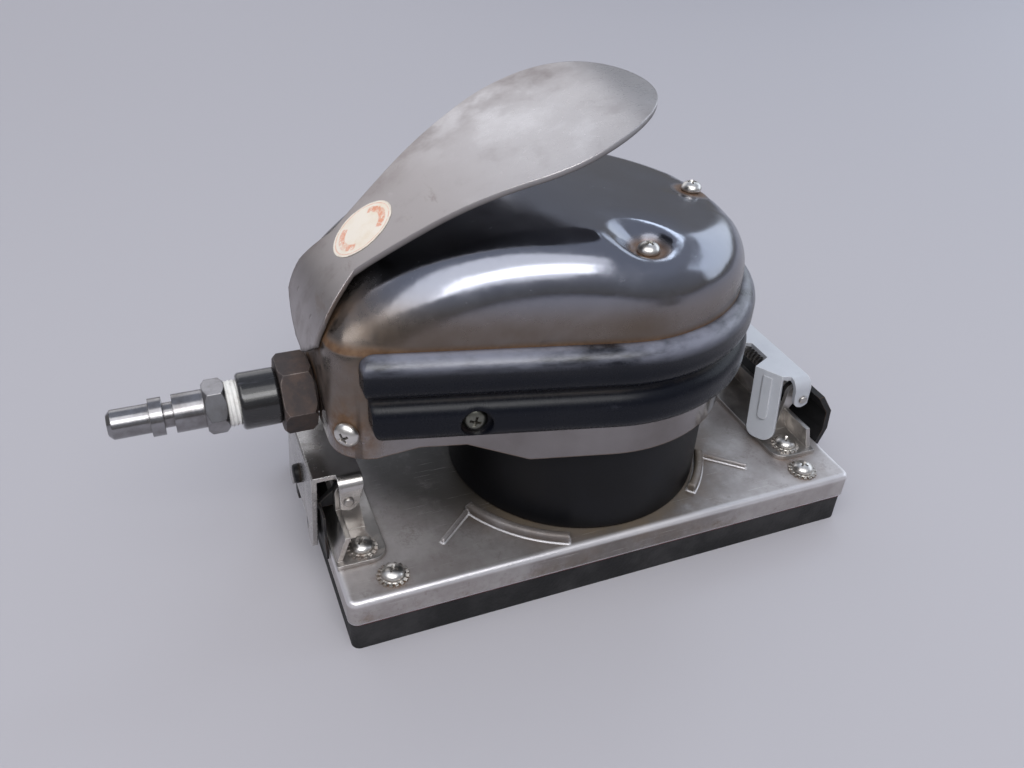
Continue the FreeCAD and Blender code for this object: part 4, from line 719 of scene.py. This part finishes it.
def bushing_finish():
    f = Finish("oxidised_bushing")
    patch = f.cloud(0.006, 6, 0.7)
    speck = f.cloud(0.0014, 4, 0.7, seed=3.0)
    worn = f.edges(0.0005, 0.01, 0.1) * patch.between(0.35, 0.6)
    colour = f.mix(patch.between(0.38, 0.66), colours().bushing, (0.095, 0.066, 0.055))
    colour = f.mix(speck.between(0.6, 0.78) * 0.6, colour, colours().rust)
    colour = f.mix(worn * 0.7, colour, (0.45, 0.40, 0.37))
    return f.done(Base_Color=colour, Metallic=0.45 + 0.5 * worn,
                  Roughness=(0.50 + 0.2 * speck - 0.15 * worn).clip(),
                  Normal=f.bump(0.6 * speck + 0.4 * patch, 0.0001, 0.6, f.rounded(0.0005)))


def plug_finish():
    """Nickel plug with lathe rings and rubbed, darker handling marks."""
    f = Finish("nickel_plug")
    c = colours()
    ring = f.cloud(0.0005, 2, where=f.stretched((1.0, 0.02, 0.02)))
    patch = f.cloud(0.007, 5, 0.65, seed=2.0)
    dirt = (f.crevices(0.0018).between(0.2, 0.8) * 0.7 + patch.between(0.62, 0.8) * 0.3).clip()
    colour = f.mix(patch.between(0.4, 0.72), c.nickel, (0.19, 0.18, 0.18))
    colour = f.mix(dirt, colour, c.grime)
    return f.done(Base_Color=colour, Metallic=1 - 0.6 * dirt,
                  Roughness=(0.13 + 0.12 * patch + 0.3 * dirt).clip(),
                  Normal=f.bump(ring, 0.00003, 0.4, f.rounded(0.0004)))


def tape_finish():
    f = Finish("thread_tape")
    c = colours()
    fold = f.cloud(0.0012, 5, 0.7, where=f.stretched((1.0, 0.3, 0.3)))
    soil = f.cloud(0.004, 5, 0.65, seed=3.0).between(0.52, 0.78) * 0.55
    colour = f.mix(soil, c.tape, (0.33, 0.27, 0.22))
    return f.done(Base_Color=colour, Roughness=0.42 + 0.2 * fold, Normal=f.bump(fold, 0.0001, 0.7))


def sticker_finish():
    """Oval sticker with no words: cream face, orange rim line and two worn arcs, scuffed and stained."""
    f = Finish("blank_sticker")
    c = colours()
    spot = f.node("ShaderNodeAttribute", attribute_name="spot", out="Vector")
    u, v = (f.node("ShaderNodeSeparateXYZ", [spot], out=i) for i in range(2))
    radius = (u * u + v * v) ** 0.5
    scuff = f.cloud(0.0030, 6, 0.75)
    soil = f.cloud(0.008, 5, 0.6, seed=2.0)
    stroke = f.cloud(0.0007, 2, 0.5, seed=4.0)
    rim = radius.between(0.89, 0.90) * radius.fading(0.93, 0.94) * 0.6
    arcs = radius.between(0.56, 0.60) * radius.fading(0.78, 0.82)
    arcs = arcs * (u * u / (radius * radius)).between(0.3, 0.4)
    marks = (rim + arcs * stroke.between(0.34, 0.48)).clip() * scuff.between(0.46, 0.64, 1.0, 0.15)
    colour = f.mix(soil.between(0.45, 0.75) * 0.5, c.sticker, (0.70, 0.55, 0.36))
    colour = f.mix(marks * 0.85, colour, c.sticker_print)
    edge = (radius.between(0.93, 1.0) * scuff.between(0.45, 0.6)).clip()
    colour = f.mix((scuff.between(0.67, 0.72) * 0.6 + edge * 0.6).clip(), colour, (0.36, 0.30, 0.25))
    return f.done(Base_Color=colour, Roughness=0.42 + 0.25 * soil, Normal=f.bump(scuff, 0.00004, 0.5))


def vane_finish():
    f = Finish("pressed_vanes")
    grain = f.cloud(0.002, 5, 0.6, where=f.stretched((1, 1, 0.1)))
    colour = f.mix(grain, (0.10, 0.05, 0.025), (0.16, 0.09, 0.05))
    return f.done(Base_Color=colour, Roughness=0.45 + 0.2 * grain)


# ---------------------------------------------------------------- pieces
def screw_axis(points):
    """Seat centre, direction and sizes of a screw, read from its solid."""
    cloud = np.array([tuple(p) for p in points])
    middle = cloud.mean(axis=0)
    spread, turns = np.linalg.eigh(np.cov((cloud - middle).T))
    pairs = [abs(spread[1] - spread[2]), abs(spread[0] - spread[2]), abs(spread[0] - spread[1])]
    axis = turns[:, int(np.argmin(pairs))]
    if abs(axis[2]) > 0.9:
        axis = np.array([0.0, 0.0, 1.0])
    else:
        axis[2] = 0.0
        axis /= np.linalg.norm(axis)
    low, high = cloud.min(axis=0), cloud.max(axis=0)
    centre = (low + high) / 2
    along = (cloud - centre) @ axis
    off = np.linalg.norm(cloud - centre - np.outer(along, axis), axis=1)
    head = along[off > 0.97 * off.max()]
    if head.mean() < 0:
        axis, along, head = -axis, -along, -head
    seat = centre + axis * head.min()
    return Vector(seat), Vector(axis), float(off.max()), float(along.max() - head.min())


def screw_mesh(name, radius, rise, shank):
    """Pan-head screw seated at the origin, facing +Z, with a tapered cross slot."""
    work = bmesh.new()
    crown = [(radius * math.sin(a), rise * (0.22 + 0.78 * math.cos(a))) for a in
             [math.radians(d) for d in (0, 12, 24, 36, 48, 60, 72, 82, 90)]]
    profile = [(0, -shank), (0.52 * radius, -shank), (0.52 * radius, -0.0001), (0.93 * radius, 0),
               (radius, 0.12 * rise)] + crown[::-1][:-1] + [(0, rise)]
    revolve(work, profile, 40)
    body = add_object(name + "_blank", from_bmesh(name, work))
    cutter = bmesh.new()
    reach, half, deep = 0.62 * radius, sizes().cross_width / 2, sizes().cross_depth
    for turn in (0, 90):
        spin = Matrix.Rotation(math.radians(turn), 4, "Z")
        plan = ((-reach, -half), (reach, -half), (reach, half), (-reach, half))
        top = [(x, y, rise + 0.0004) for x, y in plan]
        foot = [(0.35 * x, 0.55 * y, rise - deep) for x, y, z in top]
        verts = [cutter.verts.new(spin @ Vector(p)) for p in top + foot]
        for ring in ((0, 1, 2, 3), (7, 6, 5, 4), (0, 4, 5, 1), (1, 5, 6, 2), (2, 6, 7, 3), (3, 7, 4, 0)):
            cutter.faces.new([verts[i] for i in ring])
    bmesh.ops.recalc_face_normals(cutter, faces=cutter.faces)
    blade = add_object(name + "_blade", to_mesh(name + "_blade", cutter, smooth=False))
    cut = body.modifiers.new("slot", "BOOLEAN")
    cut.operation, cut.object, cut.solver, cut.use_self = "DIFFERENCE", blade, "EXACT", True
    mesh = baked(body)
    for spare in (body, blade):
        bpy.data.objects.remove(spare)
    sharpen(mesh, 35)
    return mesh


def screw_recipe():
    recipe = Recipe("screws_on_seats", Screw="Object", Seed="Int")
    model = recipe.node("GeometryNodeObjectInfo", {"Object": recipe.given("Screw")}, out="Geometry")
    facing = recipe.node("GeometryNodeInputNamedAttribute", {"Name": "facing"}, data_type="FLOAT_VECTOR")
    upright = recipe.node("FunctionNodeAlignRotationToVector", {"Vector": facing}, axis="Z")
    placed = recipe.node("GeometryNodeInstanceOnPoints",
                         {"Points": recipe.given("Geometry"), "Instance": model, "Rotation": upright})
    spin = recipe.node("FunctionNodeRandomValue", {"Seed": recipe.given("Seed"), 2: 0.0, 3: math.pi / 2},
                       out=1, data_type="FLOAT")
    turn = recipe.node("FunctionNodeAxisAngleToRotation", {"Axis": (0, 0, 1), "Angle": spin})
    turned = recipe.node("GeometryNodeRotateInstances", {"Instances": placed, "Rotation": turn})
    recipe.finish(turned)
    return recipe


def washer_recipe():
    """A flat ring with twisted teeth round its rim, repeated at every seed point."""
    recipe = Recipe("toothed_washers", Teeth="Int", Radius="Float", Bore="Float", Thickness="Float",
                    Twist="Float")
    given, node, maths = recipe.given, recipe.node, recipe.maths
    ring_edge = maths("MULTIPLY", given("Radius"), 0.80)
    middle = maths("MULTIPLY", maths("ADD", ring_edge, given("Bore")), 0.5)
    width = maths("SUBTRACT", ring_edge, given("Bore"))
    ring_line = node("GeometryNodeCurvePrimitiveCircle", {"Resolution": 48, "Radius": middle})
    section = node("GeometryNodeCurvePrimitiveQuadrilateral", {0: width, 1: given("Thickness")})
    ring = node("GeometryNodeCurveToMesh", [ring_line, section])
    tooth_length, tooth_width = (maths("MULTIPLY", given("Radius"), share) for share in (0.26, 0.20))
    size = recipe.vector(tooth_length, tooth_width, given("Thickness"))
    tooth = node("GeometryNodeMeshCube", {"Size": size})
    rim = maths("MULTIPLY", given("Radius"), 0.87)
    rim_line = node("GeometryNodeCurvePrimitiveCircle", {"Resolution": given("Teeth"), "Radius": rim})
    aim = node("FunctionNodeAlignRotationToVector", {"Vector": node("GeometryNodeInputPosition")}, axis="X")
    teeth = node("GeometryNodeInstanceOnPoints", {"Points": rim_line, "Instance": tooth, "Rotation": aim})
    twist = node("FunctionNodeAxisAngleToRotation", {"Axis": (1, 0, 0), "Angle": given("Twist")})
    teeth = node("GeometryNodeRotateInstances", {"Instances": teeth, "Rotation": twist})
    washer = recipe.join(ring, node("GeometryNodeRealizeInstances", [teeth]))
    lift = recipe.vector(0, 0, maths("MULTIPLY", given("Thickness"), 0.5))
    raised = node("GeometryNodeTransform", {"Geometry": washer, "Translation": lift})
    placed = node("GeometryNodeInstanceOnPoints", {"Points": given("Geometry"), "Instance": raised})
    recipe.finish(placed)
    return recipe


def coil_recipe():
    """A wire coil, tilted about X from upright, repeated at every seed point."""
    recipe = Recipe("coil_springs", Turns="Float", Radius="Float", Length="Float", Wire="Float", Tilt="Float")
    given, node = recipe.given, recipe.node
    helix = node("GeometryNodeCurveSpiral", {"Resolution": 28, "Rotations": given("Turns"),
                 "Start Radius": given("Radius"), "End Radius": given("Radius"), "Height": given("Length")})
    wire = node("GeometryNodeCurvePrimitiveCircle", {"Resolution": 10, "Radius": given("Wire")})
    coil = node("GeometryNodeCurveToMesh", {"Curve": helix, "Profile Curve": wire, "Fill Caps": True})
    smooth = node("GeometryNodeSetShadeSmooth", {"Geometry": coil})
    shift = recipe.vector(0, 0, recipe.maths("MULTIPLY", given("Length"), -0.5))
    centred = node("GeometryNodeTransform", {"Geometry": smooth, "Translation": shift})
    tilt = recipe.vector(given("Tilt"), 0, 0)
    laid = node("GeometryNodeTransform", {"Geometry": centred, "Rotation": tilt})
    placed = node("GeometryNodeInstanceOnPoints", {"Points": given("Geometry"), "Instance": laid})
    recipe.finish(placed)
    return recipe


# ---------------------------------------------------------------- operators
class Maker(bpy.types.Operator):
    """Base of the operators that dress or make one group of pieces"""
    bl_options = {"REGISTER", "UNDO"}


class SANDER_OT_stage(Maker):
    """Makes the floor, the lights and the camera"""
    bl_idname = "sander.stage"
    bl_label = "Stage"

    def execute(self, context):
        scene = context.scene
        scene.view_settings.view_transform = "Standard"
        self.make_floor()
        self.make_sky(scene)
        self.make_lamp("ceiling", 232, 58, (1.7, 1.1), 9.6, (1.0, 0.99, 0.98))
        self.make_lamp("key", 252, 49, (1.0, 0.40), 5.0, (1.0, 0.99, 0.98))
        self.make_lamp("skylight", 50, 47, (0.36, 0.32), 1.2, (0.80, 0.90, 1.0))
        self.make_lamp("window", 8, 20, (1.4, 0.7), 4.4, (0.80, 0.89, 1.0))
        self.make_lamp("far_wall", 99, 23, (1.15, 0.8), 2.3, (0.99, 0.98, 1.0))
        self.make_camera(scene)
        return {"FINISHED"}

    def make_floor(self):
        f = Finish("pale_floor")
        material = f.done(Base_Color=rgba(colours().floor), Roughness=0.75)
        work = bmesh.new()
        bmesh.ops.create_grid(work, x_segments=1, y_segments=1, size=FLOOR_HALF)
        add_object("floor", from_bmesh("floor", work, smooth=False), material)

    def make_sky(self, scene):
        """Soft dome of light, dimmer and warmer along the horizon."""
        world = bpy.data.worlds.new("soft_sky")
        world.use_nodes = True
        scene.world = world
        nodes, links = world.node_tree.nodes, world.node_tree.links
        back, where = nodes["Background"], nodes.new("ShaderNodeTexCoord")
        split, ramp = nodes.new("ShaderNodeSeparateXYZ"), nodes.new("ShaderNodeValToRGB")
        low, high = ramp.color_ramp.elements
        low.position, low.color = 0.0, (0.20, 0.19, 0.18, 1)
        high.position, high.color = 0.75, (0.42, 0.45, 0.53, 1)
        links.new(where.outputs["Generated"], split.inputs[0])
        links.new(split.outputs[2], ramp.inputs[0])
        seen, backdrop = nodes.new("ShaderNodeLightPath"), nodes.new("ShaderNodeMix")
        backdrop.data_type, backdrop.inputs[7].default_value = "RGBA", (0.47, 0.46, 0.50, 1)
        links.new(seen.outputs["Is Camera Ray"], backdrop.inputs["Factor"])
        links.new(ramp.outputs[0], backdrop.inputs[6])
        links.new(backdrop.outputs[2], back.inputs["Color"])

    def make_lamp(self, name, bearing, height, panel, watts, glow):
        """Soft light panel, seen from the tool at a bearing and a height in degrees."""
        data = bpy.data.lights.new(name, "AREA")
        data.shape, data.size, data.size_y = "RECTANGLE", *panel
        data.energy, data.color = watts, glow
        lamp = bpy.data.objects.new(name, data)
        bpy.context.scene.collection.objects.link(lamp)
        turn, rise = math.radians(bearing), math.radians(height)
        aim = Vector((math.cos(rise) * math.cos(turn), math.cos(rise) * math.sin(turn), math.sin(rise)))
        lamp.location = LAMP_CENTRE + aim * LAMP_DISTANCE
        lamp.rotation_euler = aim.to_track_quat("Z", "Y").to_euler()

    def make_camera(self, scene):
        s = sizes()
        turn, rise, roll = s.camera_turn, s.camera_rise, s.camera_roll
        back = Vector((math.sin(turn) * math.cos(rise), -math.cos(turn) * math.cos(rise), math.sin(rise)))
        level = Vector((math.cos(turn), math.sin(turn), 0))
        upright = back.cross(level)
        right = level * math.cos(roll) + upright * math.sin(roll)
        up = upright * math.cos(roll) - level * math.sin(roll)
        data = bpy.data.cameras.new("camera")
        data.sensor_width, data.lens = SENSOR_WIDTH, s.camera_lens
        camera = bpy.data.objects.new("camera", data)
        scene.collection.objects.link(camera)
        spot = Vector(s.camera_target) + back * s.camera_reach
        camera.matrix_world = Matrix.Translation(spot) @ Matrix((right, up, back)).transposed().to_4x4()
        data.clip_start, data.clip_end = 0.01, 20.0
        scene.camera = camera


class SANDER_OT_shroud(Maker):
    """Pressed shroud with the rims of its dimples rolled off softly"""
    bl_idname = "sander.shroud"
    bl_label = "Shroud"

    def execute(self, context):
        work = copied("shroud_cover")
        tree = BVHTree.FromBMesh(work)
        moves = {}
        for solid in islands("dome_screws"):
            self.soften(work, tree, sum(solid, Vector()) / len(solid), moves)
        for vert, shift in moves.items():
            vert.co += shift
        mesh = to_mesh("pressed_shroud", work)
        sharpen(mesh, 40)
        piece = add_object("pressed_shroud", mesh, shell_finish())
        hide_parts("shroud_cover")
        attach(piece, "tool_body")
        return {"FINISHED"}

    def soften(self, work, tree, centre, moves):
        """Evens out the wall round one dimple, from its floor's rim to the open roof."""
        s = sizes()
        step = GRID_STEP
        facing = Vector((0.10 * centre.x, 0.55 * centre.y, 0.045)).normalized()
        side = facing.cross(X_AXIS).normalized()
        across = side.cross(facing)

        def height(u, v):
            hit = tree.ray_cast(centre + side * u + across * v + facing * 0.03, -facing)[0]
            return (hit - centre).dot(facing) if hit else None

        span = range(-GRID_HALF, GRID_HALF + 1)
        grid = {(i, j): height(i * step, j * step) for i in span for j in span}
        reach = max(1, round(2.5 * s.dimple_softness / step))
        taps = [math.exp(-0.5 * (k * step / s.dimple_softness) ** 2) for k in range(-reach, reach + 1)]

        def blur(field, di, dj):
            out = {}
            for (i, j), own in field.items():
                total = weight = 0.0
                for k, tap in zip(range(-reach, reach + 1), taps):
                    near = field.get((i + k * di, j + k * dj))
                    if own is not None and near is not None and abs(near - own) < STEP_TOLERANCE:
                        total, weight = total + tap * near, weight + tap
                out[i, j] = total / weight if weight else None
            return out

        soft = blur(blur(grid, 1, 0), 0, 1)
        for vert in work.verts:
            gap = vert.co - centre
            u, v, h = gap.dot(side), gap.dot(across), gap.dot(facing)
            away = math.hypot(gap.x, gap.y)
            if away > SOFT_RADIUS or abs(h) > SOFT_DEPTH:
                continue
            i, j = math.floor(u / step), math.floor(v / step)
            corners = [(i, j), (i + 1, j), (i, j + 1), (i + 1, j + 1)]
            if any(grid.get(c) is None or soft.get(c) is None for c in corners):
                continue
            fu, fv = u / step - i, v / step - j
            shares = ((1 - fu) * (1 - fv), fu * (1 - fv), (1 - fu) * fv, fu * fv)
            top = sum(w * grid[c] for w, c in zip(shares, corners))
            if abs(h - top) < WALL_TOLERANCE:
                change = sum(w * (soft[c] - grid[c]) for w, c in zip(shares, corners))
                fade = ease((away - FLOOR_EDGE) / FLOOR_FADE) * ease((OUTER_EDGE - away) / OUTER_FADE)
                moves[vert] = facing * (change * fade)


class SANDER_OT_rubber(Maker):
    """Finishes the bumper, the skirt and the pad"""
    bl_idname = "sander.rubber"
    bl_label = "Rubber parts"

    def execute(self, context):
        c = colours()
        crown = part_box("bumper_guard")[1].z - 0.001
        dress(rubber("bumper_rubber", c.bumper, 0.27, 0.3, crown=crown, soft=0.002), "bumper_guard")
        dress(rubber("skirt_rubber", c.rubber, 0.42, 0.35), "rubber_skirt")
        dress(pad_finish(), "sanding_pad")
        dress(cloth_finish(), "pad_backing")
        return {"FINISHED"}


class SANDER_OT_shoe(Maker):
    """Finishes the cast shoe"""
    bl_idname = "sander.shoe"
    bl_label = "Shoe"

    def execute(self, context):
        dress(shoe_finish(), "shoe_plate")
        return {"FINISHED"}


class SANDER_OT_lever(Maker):
    """Makes the handled throttle lever and its sticker, and finishes its pin and valve stem"""
    bl_idname = "sander.lever"
    bl_label = "Throttle lever"

    def execute(self, context):
        dress(steel("ground_pin", (0.55, 0.54, 0.52), (0.40, 0.39, 0.37), 0.28), "lever_pin", "throttle_stem")
        lever = self.dress_ears()
        self.lay_sticker(lever)
        return {"FINISHED"}

    def dress_ears(self):
        """Lever with the upper corners of its two ears filed flush with the neck."""
        pin_low, pin_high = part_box("lever_pin")
        pivot = (pin_low + pin_high) / 2
        corner = pivot + EAR_CORNER
        work = copied("throttle_lever")
        for vert in work.verts:
            if math.hypot(vert.co.x - corner.x, vert.co.z - corner.z) < 0.1 * MM:
                beside = [e.other_vert(vert).co for e in vert.link_edges]
                beside = [p.copy() for p in beside if abs(p.y - vert.co.y) < 0.01 * MM]
                if len(beside) > 1:
                    vert.co = (min(beside, key=lambda p: p.z) + max(beside, key=lambda p: p.z)) / 2
        # tags the downward faces, which the lever's finish paints in shade
        under = work.verts.layers.float.new("under")
        work.normal_update()
        for vert in work.verts:
            vert[under] = 1.0 if vert.normal.z < -0.05 else 0.0
        mesh = to_mesh("handled_lever", work)
        sharpen(mesh, 30)
        piece = add_object("handled_lever", mesh, lever_finish())
        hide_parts("throttle_lever")
        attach(piece, "throttle")
        return piece

    def lay_sticker(self, lever):
        """Oval sticker on the neck that follows the curve of the lever."""
        s = sizes()
        low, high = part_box("lever_label")
        reach = high - low
        along = Vector((reach.x, 0, reach.z)).normalized()
        up = Vector((-along.z, 0, along.x))
        centre = (low + high) / 2 + along * STICKER_SHIFT[0] + Y_AXIS * STICKER_SHIFT[1]
        tree = BVHTree.FromObject(lever, bpy.context.evaluated_depsgraph_get())
        work = bmesh.new()
        spot = work.verts.layers.float_vector.new("spot")
        steps = 64
        turns = [2 * math.pi * i / steps for i in range(steps)]

        def lay(u, v, lift):
            start = centre + along * (u * s.sticker_length / 2) + Y_AXIS * (v * s.sticker_width / 2)
            vert = work.verts.new(tree.ray_cast(start + up * 0.01, -up)[0] + up * lift)
            vert[spot] = (u, v, 0)
            return vert

        def lay_sheet(lift):
            middle = lay(0, 0, lift)
            rows = [[lay(share * math.cos(a), share * math.sin(a), lift) for a in turns]
                    for share in (0.25, 0.5, 0.75, 0.94, 1.0)]
            for i in range(steps):
                k = (i + 1) % steps
                work.faces.new((middle, rows[0][i], rows[0][k]))
                for inner, outer in zip(rows, rows[1:]):
                    work.faces.new((inner[i], outer[i], outer[k], inner[k]))
            return rows[-1]

        top, foot = lay_sheet(STICKER_LIFT), lay_sheet(STICKER_LIFT - STICKER_THICKNESS)
        for i in range(steps):
            k = (i + 1) % steps
            work.faces.new((top[i], foot[i], foot[k], top[k]))
        mesh = from_bmesh("oval_sticker", work)
        sharpen(mesh, 50)
        piece = add_object("oval_sticker", mesh, sticker_finish())
        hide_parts("lever_label")
        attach(piece, "throttle")


class SANDER_OT_inlet(Maker):
    """Finishes the inlet fittings and winds the thread tape"""
    bl_idname = "sander.inlet"
    bl_label = "Air inlet"

    def execute(self, context):
        dress(bushing_finish(), "inlet_bushing")
        dress(enamel("black_coupling", 0.16, 0.45, gloss=0.8), "coupling")
        dress(plug_finish(), "quick_plug")
        self.wind_tape()
        return {"FINISHED"}

    def wind_tape(self):
        """Tape pressed into the pipe thread: a shallow helix of ridges with a ragged lap."""
        low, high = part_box("thread_tape")
        centre, outer = (low + high) / 2, (high.y - low.y) / 2
        inner, pitch, length_x = outer - TAPE_DEPTH, sizes().thread_pitch, high.x - low.x
        turns, rows = 72, 40
        work = bmesh.new()
        rings = []
        for row in range(rows + 1):
            x = low.x + length_x * row / rows
            ring = []
            for i in range(turns):
                bearing = 2 * math.pi * i / turns
                phase = (x - low.x) / pitch - bearing / (2 * math.pi)
                ridge = 0.5 + 0.5 * math.cos(2 * math.pi * phase)
                lap = LAP_DEPTH * math.sin(5 * bearing + 900 * x)
                ends = min(1.0, row / 3, (rows - row) / 3)
                radius = inner + (RIDGE_DEPTH * ridge + lap) * ends
                ring.append(work.verts.new((x, centre.y + radius * math.cos(bearing),
                                            centre.z + radius * math.sin(bearing))))
            rings.append(ring)
        for first, second in zip(rings, rings[1:]):
            for i in range(turns):
                work.faces.new((first[i], first[(i + 1) % turns], second[(i + 1) % turns], second[i]))
        for ring in (rings[0], rings[-1]):
            work.faces.new(ring)
        piece = add_object("wound_tape", from_bmesh("wound_tape", work), tape_finish())
        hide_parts("thread_tape")
        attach(piece, "tool_body")


class SANDER_OT_clamps(Maker):
    """Finishes the paper clamps, and makes the coil springs and the rear lever's button"""
    bl_idname = "sander.clamps"
    bl_label = "Paper clamps"

    def execute(self, context):
        c = colours()
        dress(satin_zinc(), "front_clamp_lever")
        dress(steel("bright_clamp", c.bright, (0.36, 0.35, 0.34), 0.26, rust=0.35), "rear_clamp_lever")
        dress(steel("bracket_steel", c.bright, (0.30, 0.28, 0.27), 0.36, rust=0.6),
              "front_clamp_bracket", "rear_clamp_bracket")
        dress(steel("pin_steel", (0.50, 0.48, 0.46), (0.32, 0.30, 0.28), 0.3, rust=0.5),
              "front_clamp_pin", "rear_clamp_pin")
        dress(enamel("black_jaws", 0.48, 0.8), "front_clamp_jaw", "rear_clamp_jaw")
        self.wind_springs()
        self.press_button()
        return {"FINISHED"}

    def press_button(self):
        """Black button pressed into the outer face of the rear clamp's lever."""
        low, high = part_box("rear_clamp_lever")
        radius, rise = sizes().button_radius, sizes().button_rise
        edge = 0.25 * radius
        profile = [(0, -0.0004), (0.9 * radius, -0.0004), (radius, 0), (radius, rise - edge),
                   (radius - 0.3 * edge, rise - 0.3 * edge), (radius - edge, rise), (0, rise)]
        work = bmesh.new()
        revolve(work, profile, 32)
        level = low.z + BUTTON_LEVEL * (high.z - low.z)
        seat = Matrix.Translation((low.x + sizes().button_inset, 0, level))
        turn = seat @ Matrix.Rotation(-math.pi / 2, 4, "Y")
        bmesh.ops.transform(work, matrix=turn, verts=work.verts)
        mesh = from_bmesh("lever_button", work)
        sharpen(mesh, 40)
        piece = add_object("lever_button", mesh, rubber("button_rubber", colours().rubber, 0.5, 0.5))
        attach(piece, "rear_lever")

    def wind_springs(self):
        boxes = [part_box(name) for name in ("front_clamp_spring", "rear_clamp_spring")]
        centres = [(low + high) / 2 for low, high in boxes]
        low, high = boxes[0]
        wire = sizes().spring_wire
        radius = (high.z - low.z) / 2 - wire / 2
        finish = steel("spring_wire", (0.34, 0.33, 0.32), (0.20, 0.19, 0.18), 0.3, rust=0.4, edge=0.0001)
        recipe = coil_recipe()
        piece = recipe.make("pin_springs", seed_points("spring_seats", centres),
                            Turns=float(sizes().spring_turns), Radius=radius,
                            Length=high.y - low.y - wire, Wire=wire / 2, Tilt=math.pi / 2, Finish=finish)
        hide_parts("front_clamp_spring", "rear_clamp_spring")
        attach(piece, "shoe")
        low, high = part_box("stem_spring")
        centre, tall = (low + high) / 2, high.z - low.z
        wire = sizes().stem_wire
        piece = recipe.make("stem_coil", seed_points("stem_seat", [centre]), Turns=7.0,
                            Radius=(high.x - low.x) / 2 - wire / 2, Length=tall - wire, Wire=wire / 2,
                            Tilt=0.0, Finish=finish)
        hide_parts("stem_spring")
        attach(piece, "tool_body")
        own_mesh(piece)


class SANDER_OT_screws(Maker):
    """Makes every screw with its cross slot, on the seats of the plain ones"""
    bl_idname = "sander.screws"
    bl_label = "Screws"

    def execute(self, context):
        bright = screw_metal("zinc_screws", colours().zinc)
        dull = screw_metal("dull_screws", colours().dull_zinc)
        recipe = screw_recipe()
        rows = (("dome_screws", "tool_body", bright, 0.86, 1.25),
                ("side_screws", "tool_body", bright, 1.0, 1.3),
                ("bumper_screws", "tool_body", dull, 1.0, 1.0),
                ("bracket_screws", "shoe", bright, 0.95, 1.1),
                ("shoe_screws", "shoe", bright, 0.95, 1.1))
        for seed, (node, body, finish, wide, tall) in enumerate(rows, 2):
            seats = [screw_axis(solid) for solid in islands(node)]
            places, facings = [s[0] for s in seats], [s[1] for s in seats]
            radius, rise = seats[0][2] * wide, seats[0][3] * tall
            model = add_object(node + "_model", screw_mesh(node, radius, rise, 0.003))
            piece = recipe.make(node + "_cross", seed_points(node + "_seats", places, facings),
                                Screw=model, Seed=seed, Finish=finish)
            bpy.data.objects.remove(model)
            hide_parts(node)
            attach(piece, body)
        return {"FINISHED"}


class SANDER_OT_washers(Maker):
    """Makes the toothed lock washers under the shoe's screws"""
    bl_idname = "sander.washers"
    bl_label = "Toothed washers"

    def execute(self, context):
        solids = islands(WASHER_NODE)
        places = []
        for solid in solids:
            low, high = extent(solid)
            places.append(Vector(((low.x + high.x) / 2, (low.y + high.y) / 2, low.z)))
        radius, thickness = (high.x - low.x) / 2, high.z - low.z
        finish = steel("washer_steel", (0.50, 0.48, 0.45), (0.30, 0.27, 0.24), 0.32, rust=0.7, edge=0.0002)
        piece = washer_recipe().make("lock_washers", seed_points("washer_seats", places),
                                     Teeth=sizes().washer_teeth, Radius=radius, Bore=0.45 * radius,
                                     Thickness=thickness * 0.85, Twist=sizes().tooth_twist, Finish=finish)
        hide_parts(WASHER_NODE)
        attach(piece, "shoe")
        return {"FINISHED"}


class SANDER_OT_motor(Maker):
    """Finishes the housing and the motor inside the shroud"""
    bl_idname = "sander.motor"
    bl_label = "Motor"

    def execute(self, context):
        dress(steel("cast_housing", (0.36, 0.36, 0.37), (0.22, 0.21, 0.21), 0.5, rust=0.3), "motor_housing")
        dress(steel("cast_iron", (0.24, 0.24, 0.25), (0.16, 0.16, 0.16), 0.45), "cylinder_liner",
              "end_plate_lower", "end_plate_upper")
        dress(steel("ground_steel", (0.55, 0.55, 0.56), (0.42, 0.42, 0.42), 0.25), "rotor", "eccentric_shaft",
              "shoe_bearing", "bearing_lower", "bearing_upper", "bearing_retainer")
        dress(vane_finish(), "rotor_vanes")
        return {"FINISHED"}


class SANDER_PT_panel(bpy.types.Panel):
    bl_label = "Orbital Sander"
    bl_idname = "SANDER_PT_panel"
    bl_space_type = "VIEW_3D"
    bl_region_type = "UI"
    bl_category = "Sander"

    def draw(self, context):
        for maker in MAKERS:
            self.layout.operator(maker.bl_idname)
        for group in (context.scene.sander_sizes, context.scene.sander_colours):
            column = self.layout.column(align=True)
            for field in group.bl_rna.properties:
                if field.identifier not in ("rna_type", "name"):
                    column.prop(group, field.identifier)


MAKERS = (SANDER_OT_stage, SANDER_OT_shroud, SANDER_OT_rubber, SANDER_OT_shoe, SANDER_OT_lever,
          SANDER_OT_inlet, SANDER_OT_clamps, SANDER_OT_screws, SANDER_OT_washers, SANDER_OT_motor)
CLASSES = (SanderColours, SanderSizes, *MAKERS, SANDER_PT_panel)


def register():
    for cls in CLASSES:
        bpy.utils.register_class(cls)
    bpy.types.Scene.sander_colours = bpy.props.PointerProperty(type=SanderColours)
    bpy.types.Scene.sander_sizes = bpy.props.PointerProperty(type=SanderSizes)


def unregister():
    del bpy.types.Scene.sander_sizes
    del bpy.types.Scene.sander_colours
    for cls in reversed(CLASSES):
        bpy.utils.unregister_class(cls)


def main():
    register()
    for maker in MAKERS:
        getattr(bpy.ops.sander, maker.bl_idname.split(".")[1])()


if __name__ == "__main__":
    main()
